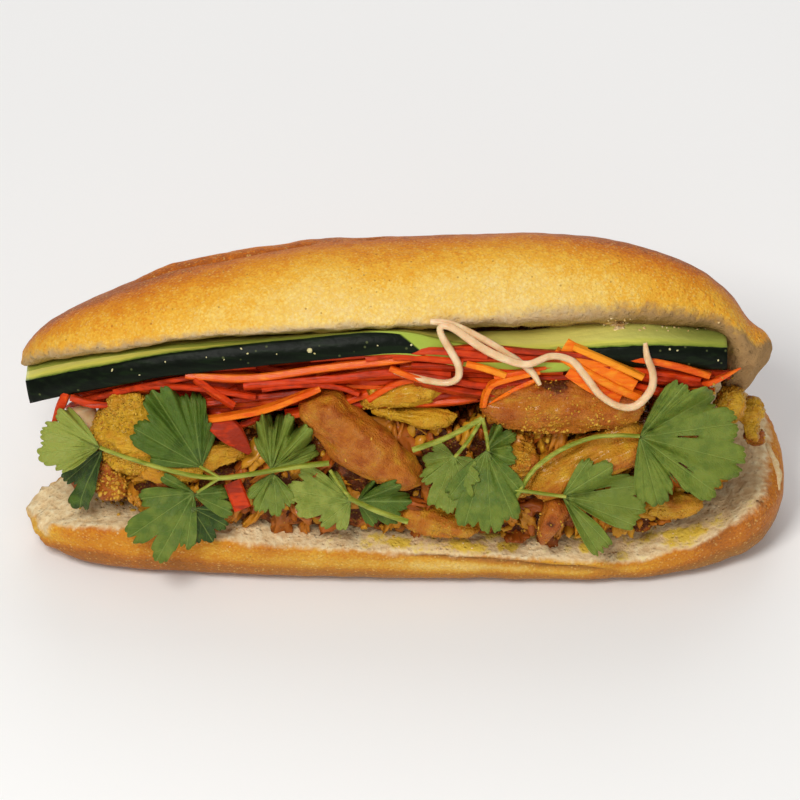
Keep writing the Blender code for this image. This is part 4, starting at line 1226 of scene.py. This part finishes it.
# %% Daikon finish
daikon_look, tree, shader = finish_material("pickled_daikon", Specular_IOR_Level=0.3, Coat_Weight=0.2,
                                            Coat_Roughness=0.12, Subsurface_Weight=0.30,
                                            Subsurface_Scale=0.003)
place = own_place(tree)
milky = pattern(tree, blotches, place, 220.0, 0.2, 0.8)
pale = ramp(tree, milky, [(0.0, (216, 172, 122)), (0.5, (230, 194, 148)), (1.0, (240, 212, 172))])
surface(tree, shader, pale, milky, 0.28, 0.40)
relief(tree, shader, milky, 0.15)

# %% Make the daikon
DAIKON_GIRTH, DAIKON_START, DAIKON_END = 2.6, 2.0, 1.5
for number, route in enumerate(STRIP_ROUTES, 1):
    stops = [mouth_point(*stop) for stop in route]
    girth = [DAIKON_GIRTH * (1 + 0.09 * math.sin(1.3 * k + number)) for k in range(len(stops))]
    girth[0], girth[-1] = DAIKON_START, DAIKON_END
    strip = grown(f"daikon_cut_strip_{number}", lines("daikon_line", [(stops, girth, 0.5, 0.4)]), cut_strips,
                  Material=daikon_look, Spacing=0.0009, Wide=0.001, Thick=0.0009, Corner=0.00032, Round=True)
    settle(strip, None, "daikon", f"daikon_strip_{number}")
for number, growth in enumerate(SLICE_GROWTH, 1):
    piece = fine_copy(f"daikon_slice_{number}", f"daikon_cut_slice_{number}", 0.45, 3)
    spots, outward = points_of(piece)
    middle = spots.mean(0)
    spots = middle + (spots - middle) * growth
    move_points(piece, spots + outward * (0.5 * bumps(spots, 3.0, number))[:, None])
    settle(piece, daikon_look, "daikon", f"daikon_slice_{number}")

# %% [markdown]
# ## Cilantro
# Three sprigs lie over the front of the filling. A cilantro leaf is a fan of rounded lobes, each
# notched again into small teeth, with ribs that spread from the stalk. Every leaf here is drawn by one
# function: its lobes are given as direction, length and half width, and the outline is the furthest
# reach of any lobe, cut into teeth. The flat fan is then pleated along its ribs and laid down.

# %% What the leaves lie on
under = bmesh.new()
for piece in [roll, core, shred_mesh, cucumber, carrot_mesh, carrot_core] + meat:
    under.from_mesh(piece.data)
landing = BVHTree.FromBMesh(under)
under.free()
PROBE = 200.0


def height_of_food(point):
    """How far the food lies below a point, along the direction the leaves face, in millimetres."""
    start = placed(point + LEAF_OUT * PROBE)
    hit = landing.ray_cast(start, -LEAF_OUT)
    return PROBE - hit[3] / MM if hit[0] is not None else None


# %% Leaf outline
RINGS, SPOKES = 9, 250
RING_SPREAD = 0.85              # below 1, the rings lie closer together towards the leaf's edge
LOBE_ROUNDNESS = 0.46
TOOTH_SPACING, TOOTH_DEPTH = 2.3, 1.0
CLEFT_SPACING, CLEFT_DEPTH, CLEFT_WIDTH = 7.9, 0.08, 0.26
PLEAT, WAVE_HEIGHT, WAVE_SIZE = 0.16, 2.4, 7
SLIT_HALF = 1.3                         # half a slit's width in degrees
leaves = bmesh.new()
rib_layer = leaves.verts.layers.float_vector.new("rib")
shade_layer = leaves.verts.layers.float.new("tone")


def leaf_edge(angle, lobes, seed):
    """How far the leaf reaches in one direction, and which way the lobe there points."""
    best, reach = lobes[0], 0.0
    for lobe in lobes:
        off = min(abs(angle - lobe[0]) / lobe[2], 1.0)
        r = lobe[1] * (1 - off**3.0) ** LOBE_ROUNDNESS
        if r >= reach:
            best, reach = lobe, r
    arc = math.radians(angle) * best[1] + 0.7 * math.sin(angle / 9 + seed)
    tooth = abs(math.sin(math.pi * (arc / TOOTH_SPACING + seed * 0.37)))
    from_cleft = abs(((arc / CLEFT_SPACING + seed * 0.61) % 1.0) - 0.5) * 2
    cleft = max(0.0, from_cleft - 0.74) / CLEFT_WIDTH
    reach = reach * (1 - CLEFT_DEPTH * cleft) - TOOTH_DEPTH * (1 - tooth**0.6)
    return max(reach, 0.02 * max(length for _, length, _ in lobes)), best[0]


# %% Leaf function
def leaf(x, rise, out, heading, lobes, tone, seed, pitch=0.0, roll_over=0.0, curl=0.0, clear=1.4,
         slits=()):
    """One leaf. Lobes are (direction from the heading in degrees, length, half width in degrees).
    Slits, where the blade is torn, are (direction from the heading, from, to)."""
    low = min(a - w for a, _, w in lobes)
    high = max(a + w for a, _, w in lobes)
    longest = max(length for _, length, _ in lobes)
    heading_angle = math.radians(heading)
    base = slope_point(x, rise, out)
    ahead = Vector((1, 0, 0)) * math.cos(heading_angle) + LEAF_UP * math.sin(heading_angle)
    side = Vector((-1, 0, 0)) * math.sin(heading_angle) + LEAF_UP * math.cos(heading_angle)
    up = LEAF_OUT.copy()
    ahead = ahead * math.cos(math.radians(pitch)) + up * math.sin(math.radians(pitch))
    side = side * math.cos(math.radians(roll_over)) + up * math.sin(math.radians(roll_over))
    up = ahead.cross(side).normalized()
    grid, edges = [], []
    for k in range(SPOKES + 1):
        angle = low + (high - low) * k / SPOKES
        reach, rib_at = leaf_edge(angle, lobes, seed)
        flat, off_axis = math.radians(angle), math.radians(angle - rib_at)
        edges.append((angle, reach))
        column = []
        for n in range(1, RINGS + 1):
            r = reach * (n / RINGS) ** RING_SPREAD
            from_rib = abs(math.sin(off_axis)) * r
            lift = PLEAT * (math.sqrt(from_rib**2 + 0.5) - 0.7) - curl * (r / longest) ** 2 * longest
            wave_at = Vector((r * math.cos(flat) / WAVE_SIZE, r * math.sin(flat) / WAVE_SIZE, seed))
            lift += WAVE_HEIGHT * (r / longest) * noise.noise(wave_at)
            p = base + ahead * (r * math.cos(flat)) + side * (r * math.sin(flat)) + up * lift
            column.append([p, (r * math.cos(off_axis), from_rib, r / longest)])
        grid.append(column)
    lay_down(grid, clear)
    skin_leaf(base, grid, edges, tone, slits)


# %% Skin a leaf
def skin_leaf(base, grid, edges, tone, slits):
    """Faces over a leaf's points, left open where a slit runs."""
    root_vert = leaves.verts.new(placed(base))
    root_vert[rib_layer], root_vert[shade_layer] = (0, 0, 0), tone
    rows = []
    for column in grid:
        rows.append([])
        for p, rib in column:
            v = leaves.verts.new(placed(p))
            v[rib_layer], v[shade_layer] = rib, tone
            rows[-1].append(v)
    for (angle, reach), a, b in zip(edges, rows, rows[1:]):
        leaves.faces.new((root_vert, a[0], b[0]))
        for n in range(RINGS - 1):
            r = reach * ((n + 1.5) / RINGS) ** RING_SPREAD
            if not any(abs(angle - at) < SLIT_HALF and near < r < far for at, near, far in slits):
                leaves.faces.new((a[n], a[n + 1], b[n + 1], b[n]))


# %% Lay a leaf down
FLATTEN_ROUNDS = 50
DEEPEST_DROP, OVER_NOTHING = -7.0, -5.0
FRONT_LIMIT = -45.5


def held_in(point):
    """Slide a point back along the way the leaves face, so that nothing sticks out far in front."""
    return point + LEAF_OUT * min(0.0, (point.y - FRONT_LIMIT) / -LEAF_OUT.y)


def lay_down(grid, clear):
    """Lift a leaf's points off the food below them, and even the lift out over the leaf."""
    lifts = np.zeros((len(grid), RINGS))
    for k, column in enumerate(grid):
        for n, (p, _) in enumerate(column):
            depth = height_of_food(p)
            lifts[k, n] = OVER_NOTHING if depth is None else max(DEEPEST_DROP, depth + clear)
    wanted = lifts.copy()
    for _ in range(FLATTEN_ROUNDS):
        spread = lifts.copy()
        spread[1:-1] = (lifts[:-2] + lifts[2:] + 2 * lifts[1:-1]) / 4
        spread[:, 1:-1] = (spread[:, :-2] + spread[:, 2:] + 2 * spread[:, 1:-1]) / 4
        lifts = np.maximum(spread, wanted - 0.1)
    for k, column in enumerate(grid):
        for n, point in enumerate(column):
            point[0] = held_in(point[0] + LEAF_OUT * lifts[k, n])


# %% [markdown]
# Each leaf is placed by where its stalk meets it, the way it points, and its lobes. Some lobes are
# folded over and show their darker underside, so those are leaves with a steep pitch of their own.

# %% Lay the leaves
leaf(-99.4, 21.6, 3.0, 172, [(-34, 18.5, 17), (-8, 20.5, 20), (14, 21, 22), (34, 16.5, 16)], 1.0, 1, pitch=-4)
leaf(-98.6, 20.8, 2.4, 234, [(-14, 20, 18), (12, 26, 16)], 0.12, 2, pitch=-32, roll_over=30)
leaf(-66.0, 15.0, 4.0, 116, [(-40, 15, 14), (-18, 25, 19), (6, 30, 21), (34, 26, 20), (54, 18, 12)], 0.32, 3)
leaf(-68.6, 6.4, 5.5, 224, [(-72, 12, 16), (-38, 18.5, 18), (-10, 26.5, 18), (17, 26, 15), (38, 19, 15)],
     0.48, 4, curl=0.05)
leaf(-68.8, 5.8, 6.2, 355, [(-20, 14.5, 20), (10, 12.5, 20)], 0.46, 14, pitch=-8)
leaf(-69.4, 1.5, 6.8, 312, [(-36, 12.5, 18), (-10, 13.5, 20), (20, 13.5, 20), (40, 12, 14)],
     0.05, 5, pitch=-10)
leaf(-43.0, 14.2, 4.0, 70, [(-46, 17, 15), (-22, 19, 18), (4, 19.5, 18), (28, 18.5, 16), (46, 12, 12)],
     0.68, 6)
leaf(-42.6, 13.0, 4.0, 262, [(-36, 11.5, 18), (-12, 14, 20), (14, 14.5, 20), (38, 12.5, 18)], 0.62, 7)
leaf(-17.0, 3.8, 6.5, 176, [(-52, 12, 15), (-27, 19.5, 18), (-6, 21.5, 18), (14, 18.5, 18), (44, 13, 20),
                            (74, 10.5, 20)], 0.86, 8, pitch=4)
leaf(-14.8, 3.6, 4.5, 8, [(-62, 10, 20), (-32, 15.5, 20), (-8, 18, 18), (14, 15.5, 16), (38, 9, 18)], 0.40, 9,
     clear=0.6)
leaf(17.0, 18.4, 6.0, 250, [(-100, 8, 26), (-62, 10.5, 24), (-32, 13.5, 20), (-2, 18.5, 18), (16, 19, 16),
                            (38, 15.5, 18), (64, 12, 20), (92, 8, 20)], 0.72, 10, roll_over=8, clear=2.2)
leaf(27.6, 20.4, 6.0, 268, [(-36, 20, 16), (-14, 26.5, 16), (6, 27.5, 16), (24, 25, 14), (42, 18, 16),
                            (72, 10.5, 22), (100, 9, 20), (124, 11.5, 20), (154, 10, 20)], 0.50, 11)
leaf(78.0, 24.8, 4.5, 0, [(-74, 23.5, 27), (-36, 32, 17), (-14, 36, 20), (8, 33, 20), (30, 28.5, 17),
                          (50, 23, 19)],
     0.60, 12, curl=0.05, clear=2.4, slits=((0, 14, 20), (-33, 14.5, 20), (-50, 15.5, 19)))
leaf(52.8, 5.3, 6.0, 0, [(54, 15.5, 14), (32, 19.5, 18), (8, 27, 17), (-10, 28, 15), (-22, 26, 11),
                         (-46, 23, 10), (-57, 23.5, 10)], 0.64, 13, slits=((10, 10.5, 15.5),))
bmesh.ops.recalc_face_normals(leaves, faces=leaves.faces)
leaf_piece = built("cilantro_leaves", leaves)
blade = leaf_piece.modifiers.new("blade", "SOLIDIFY")
blade.thickness, blade.offset = 0.28 * MM, 0.0
baked(leaf_piece)
print("leaf faces:", len(leaf_piece.data.polygons))

# %% Leaf finish
leaf_look, tree, shader = finish_material("cilantro_leaf", Specular_IOR_Level=0.22, Subsurface_Weight=0.10,
                                          Subsurface_Scale=0.0012)
rib = wired(tree, "ShaderNodeSeparateXYZ", {0: stored(tree, "rib", "Vector")})
place = own_place(tree)
mottled = pattern(tree, blotches, place, 260.0, 0.3, 0.7)
fine = pattern(tree, blotches, place, 1500.0, 0.3, 0.7)
main_rib = remap(tree, rib.outputs[1], 0.34, 0.05)
phase = minus(tree, rib.outputs[0], times(tree, rib.outputs[1], 1.25))
phase = calc(tree, "ABSOLUTE", minus(tree, calc(tree, "FRACT", times(tree, phase, 0.26)), 0.5))
side_rib = times(tree, remap(tree, phase, 0.06, 0.0), remap(tree, rib.outputs[1], 5.5, 1.0))
veins = calc(tree, "MAXIMUM", times(tree, main_rib, 0.6), times(tree, side_rib, 0.3))
tone = swayed(tree, stored(tree, "tone"), mottled, 0.22)
# Painted shade and light: each leaf is darker towards its middle and lighter towards its edge.
tone = plus(tree, tone, times(tree, minus(tree, rib.outputs[2], 0.55), 0.14))
green = ramp(tree, tone, [(0.0, (44, 66, 18)), (0.35, (80, 104, 32)), (0.7, (114, 130, 46)),
                          (1.0, (144, 154, 66))])
green = tinted(tree, green, veins, 0.5, (158, 176, 92))
surface(tree, shader, green, fine, 0.40, 0.55)
lay = minus(tree, times(tree, fine, 0.4), times(tree, veins, 1.2))
relief(tree, shader, lay, 0.22)
settle(leaf_piece, leaf_look, "cucumber")

# %% Routes of the stalks
# Stops (x, rise, out), then the thickness at the first and the last of them
STALKS = (
    (((-24, 16.3, 6), (-36.8, 14.8, 5.5), (-50.0, 12.6, 5.5), (-59.2, 11.4, 5.5), (-68.3, 12.1, 5.2),
      (-77.3, 14.1, 5), (-87.9, 17.3, 4.5), (-95.5, 19.9, 4), (-99.3, 21.5, 3.4)), 1.9, 1.4),
    (((-60.0, 11.4, 5.6), (-63.6, 13.6, 5), (-66.6, 15.2, 4.4)), 1.2, 1.0),
    (((-60.0, 11.4, 5.6), (-64.0, 8.8, 5.8), (-67.5, 6.6, 5.8)), 1.2, 1.0),
    (((-23.7, 14.0, 5), (-20.4, 9.0, 6), (-16.4, 4.1, 7)), 1.2, 1.4),
    (((-17.6, 4.8, 7), (-8, 0.4, 7.5), (2.0, -3.1, 8)), 1.8, 2.0),
    (((3.3, 20.6, 6), (12.5, 23.8, 6.5), (20.7, 27.8, 7), (26.3, 31.1, 7)), 2.0, 1.8),
    (((26.3, 31.1, 7), (22.0, 24.0, 7), (17.2, 18.2, 6.8)), 1.4, 1.2),
    (((26.3, 31.1, 7), (27.6, 25.5, 7), (28.3, 20.2, 6.4)), 1.4, 1.2),
    (((34.9, 0.2, 5), (38.8, 7.4, 5), (43.8, 14.6, 5), (52.0, 20.6, 5.5), (61.8, 24.5, 5.5),
      (70.1, 25.4, 5.5), (78.0, 25.2, 5)), 1.9, 1.4),
    (((34.0, 7.6, 4.5), (42.1, 6.8, 5.5), (54.0, 5.2, 6.4)), 1.5, 1.2),
)

# %% Lay the stalks on the food
STALK_CLEAR = 1.0
stalk_routes = []
for stops, thick, thin in STALKS:
    route = []
    for stop in stops:
        point = slope_point(*stop)
        depth = height_of_food(point)
        if depth is not None and depth > -STALK_CLEAR:
            point = point + LEAF_OUT * (depth + STALK_CLEAR)
        route.append(held_in(point))
    girth = [thick + (thin - thick) * k / (len(stops) - 1) for k in range(len(stops))]
    stalk_routes.append((route, girth, 0.5, 0.0))
print(len(stalk_routes), "stalks laid")

# %% Stalk finish
stalk_look, tree, shader = finish_material("cilantro_stalk", Specular_IOR_Level=0.3, Subsurface_Weight=0.15,
                                           Subsurface_Scale=0.001)
place = own_place(tree)
faint = pattern(tree, blotches, place, 500.0, 0.3, 0.7, (0.2, 1.0, 1.0))
stalk_colour = ramp(tree, faint, [(0.0, (122, 134, 36)), (1.0, (166, 172, 70))])
surface(tree, shader, stalk_colour, faint, 0.30, 0.42)
relief(tree, shader, faint, 0.1)
stalk_piece = grown("cilantro_stalks", lines("stalk_lines", stalk_routes), cut_strips, Material=stalk_look,
                    Spacing=0.0011, Wide=0.001, Thick=0.00095, Corner=0.00045, Round=True)
settle(stalk_piece, None, "cucumber")

# %% [markdown]
# ## Crumbs, seeds and drops
# The last small things make it look freshly cut: brown granules of fried lemongrass, bread crumbs
# that fell on the lower crumb or cling to the lid's edge with a small torn clump, pale seeds on the
# cucumber skin, and a few clear drops of pickling juice. Each kind is one joined mesh of small closed
# lumps, laid on whatever food lies below the place where it falls.

# %% Lay small lumps on the food
FURTHEST_FALL = 60
LUMP_BENT, DROP_BENT = 0.5, 0.1         # how much a lump and a flat drop are out of round


def sprinkle(name, spots_and_sizes, look, slot, seed, flat=1.0, detail=1):
    """Small lumps of one kind. Each is (x, rise, size in mm), and lands on the food below it."""
    pick = random.Random(seed)
    made, count = bmesh.new(), 0
    tone = made.verts.layers.float.new("tone")
    run_layer = made.verts.layers.float_vector.new("run")
    for along_x, rise_at, size in spots_and_sizes:
        start = placed(slope_point(along_x, rise_at, 5.0) + LEAF_OUT * PROBE)
        spot, facing_out, _, far = landing.ray_cast(start, -LEAF_OUT)
        if spot is None or far > (PROBE + FURTHEST_FALL) * MM:
            continue
        turn = facing_out.to_track_quat("Z", "Y").to_matrix()
        turn = turn @ Matrix.Rotation(pick.uniform(0, FULL_TURN), 3, "Z")
        shape = Vector((pick.uniform(0.7, 1.4), pick.uniform(0.6, 1.1), flat * pick.uniform(0.7, 1.0)))
        shade, layer = pick.random(), pick.uniform(0, 50)
        new = bmesh.ops.create_icosphere(made, subdivisions=detail, radius=0.5)["verts"]
        for v in new:
            d = v.co.copy()
            uneven = (LUMP_BENT if flat > 0.5 else DROP_BENT) * noise.noise(d * 3 + Vector((layer, 0, 0)))
            v.co = spot + turn @ Vector([c * s for c, s in zip(d, shape)]) * (1 + uneven) * size * MM
            v[tone], v[run_layer] = shade, v.co / MM
        count += 1
    print(name, count, "lumps")
    return settle(built(name, made), look, slot)


# %% Strew small lumps
def strewn(pick, heaps):
    """Places strewn thickly round the middle of each heap and thinly further off."""
    return [(pick.gauss(middle_x, reach_x), pick.gauss(middle_rise, reach_rise), pick.uniform(small, large))
            for middle_x, middle_rise, reach_x, reach_rise, how_many, small, large in heaps
            for _ in range(how_many)]


# %% Granules
# Each heap is its middle (x, rise), its reach (x, rise), how many, and the smallest and largest size
pick = random.Random(77)
granules = strewn(pick, (
    (-96, 9.5, 4.5, 4.0, 90, 0.7, 2.0), (-89, 3.5, 4.0, 2.0, 26, 0.5, 1.4),
    (47, 27.0, 5.0, 1.4, 46, 0.7, 1.7), (63, 30.5, 5.0, 1.2, 26, 0.6, 1.4),
    (104, 38.0, 4.0, 3.0, 50, 0.7, 1.8), (20, -5.5, 9.0, 1.3, 26, 0.4, 1.1),
    (-62, -5.0, 8.0, 1.2, 12, 0.4, 1.0), (72, -5.0, 12.0, 1.6, 30, 0.4, 1.1),
    (42, -6.0, 6.0, 1.5, 16, 0.4, 1.0)))
sprinkle("fried_granules", granules, grain_look, "chicken", 5)

# %% Crumbs
crumb_look, tree, shader = finish_material("loose_crumb", Roughness=0.9, Specular_IOR_Level=0.1)
place = own_place(tree)
soft = pattern(tree, blotches, place, 900.0, 0.3, 0.7)
shade = plus(tree, times(tree, stored(tree, "tone"), 0.6), times(tree, soft, 0.4))
join(tree, ramp(tree, shade, [(0.0, (206, 158, 92)), (0.5, (232, 200, 146)), (1.0, (244, 222, 178))]),
     shader, "Base Color")
relief(tree, shader, soft, 0.2)
crumbs = strewn(pick, (
    (-10, -11.5, 40.0, 1.0, 40, 0.3, 0.9), (80, -8.0, 14.0, 2.0, 26, 0.3, 0.9),
    (70.7, 62.0, 2.2, 0.9, 14, 0.6, 1.3), (90, 60.5, 7.0, 0.6, 12, 0.6, 1.3),
    (-100, -2.0, 8.0, 2.5, 18, 0.3, 0.9)))
sprinkle("loose_bread_crumbs", crumbs, crumb_look, "bread_crust", 6)
clump = [(68.2, 62.6, 2.6), (69.8, 62.0, 3.6), (71.6, 61.6, 4.0), (70.6, 60.4, 2.6), (73.4, 62.4, 2.8),
         (72.4, 60.6, 1.8)]
sprinkle("torn_crumb_clump", clump, crumb_look, "bread_crust", 12, 0.7, 3)

# %% Seeds
seeds = [(-95.0, 46.8, 1.0), (-77.5, 49.5, 0.7), (-58.2, 50.2, 0.6), (-52.6, 53.8, 0.8), (-50.5, 52.2, 0.8),
         (-30.2, 53.2, 1.8), (-28.6, 52.2, 0.9), (-8.0, 54.8, 0.7), (3.0, 55.0, 0.8), (87.5, 53.6, 1.1),
         (90.0, 53.2, 0.8), (103.5, 50.0, 0.9), (-64.0, 51.0, 0.6), (-86.0, 45.2, 0.7), (-41.0, 52.0, 0.6)]
seed_look, tree, shader = finish_material("pale_seed", Roughness=0.4, Specular_IOR_Level=0.3)
pale = pattern(tree, blotches, own_place(tree), 900.0, 0.3, 0.7)
join(tree, ramp(tree, pale, [(0.0, (196, 182, 116)), (1.0, (226, 216, 164))]), shader, "Base Color")
sprinkle("pale_seeds", seeds, seed_look, "cucumber", 8, 0.4)

# %% Drops
drop_look, tree, shader = finish_material("clear_drop", Roughness=0.03, Specular_IOR_Level=0.5,
                                          Transmission_Weight=1.0)
join(tree, ramp(tree, pattern(tree, blotches, own_place(tree), 300.0, 0.3, 0.7),
                [(0.0, (250, 250, 244)), (1.0, (255, 255, 252))]), shader, "Base Color")
drops = [(-80.0, 13.5, 1.2), (-104.0, 8.5, 0.8), (92.5, 25.0, 1.4), (96.0, 22.0, 1.0), (66.0, 1.5, 0.9),
         (-70, -8, 0.9), (-4.0, -2.0, 0.8), (-60.5, 14.0, 1.3), (70.0, 44.0, 1.4), (73.5, 41.5, 1.1),
         (76.0, 40.0, 0.9), (62.0, 48.0, 1.0)]
sprinkle("juice_drops", drops, drop_look, "cucumber", 9, 0.45, 2)

# %% [markdown]
# A thin pale skin of crust curls away from the right end of the base. It is a closed ribbon with a
# ragged edge, widest in the middle, laid on the bread along a short route.

# %% Route of the flap
FLAP_ROUTE = ((121.6, 22.5, -24), (123.6, 17.5, -21), (125.0, 12.0, -19), (125.4, 7.0, -17))
FLAP_POINTS, FLAP_THICK = 16, 0.4
flap_stops = [slope_point(*stop) for stop in FLAP_ROUTE]
flap = []
for k in range(FLAP_POINTS):
    t = k / (FLAP_POINTS - 1) * (len(flap_stops) - 1)
    i = min(int(t), len(flap_stops) - 2)
    point = flap_stops[i].lerp(flap_stops[i + 1], t - i)
    gap = height_of_food(point)
    flap.append(point if gap is None else point + LEAF_OUT * (gap + 0.1))

# %% Ribbon along the flap
torn, rows = bmesh.new(), []
for k, point in enumerate(flap):
    ahead = (flap[min(k + 1, FLAP_POINTS - 1)] - flap[max(k - 1, 0)]).normalized()
    across = ahead.cross(LEAF_OUT).normalized()
    width = 0.8 + 2.0 * math.sin(math.pi * k / (FLAP_POINTS - 1))
    ragged = width * (1 + 0.5 * noise.noise(point / 2.1))
    corners = ((-0.5, 0), (0.5, 0), (0.5, FLAP_THICK), (-0.5, FLAP_THICK))
    rows.append([torn.verts.new(placed(point + across * ragged * s + LEAF_OUT * t)) for s, t in corners])
for a, b in zip(rows, rows[1:]):
    for k in range(4):
        torn.faces.new((a[k], a[(k + 1) % 4], b[(k + 1) % 4], b[k]))
torn.faces.new(rows[0])
torn.faces.new(rows[-1][::-1])
bmesh.ops.recalc_face_normals(torn, faces=torn.faces)
flakes = built("torn_crust_skin", torn)
keep(flakes.data, "tone", np.full(len(flakes.data.vertices), 0.7))
settle(flakes, crumb_look, "bread_crust")
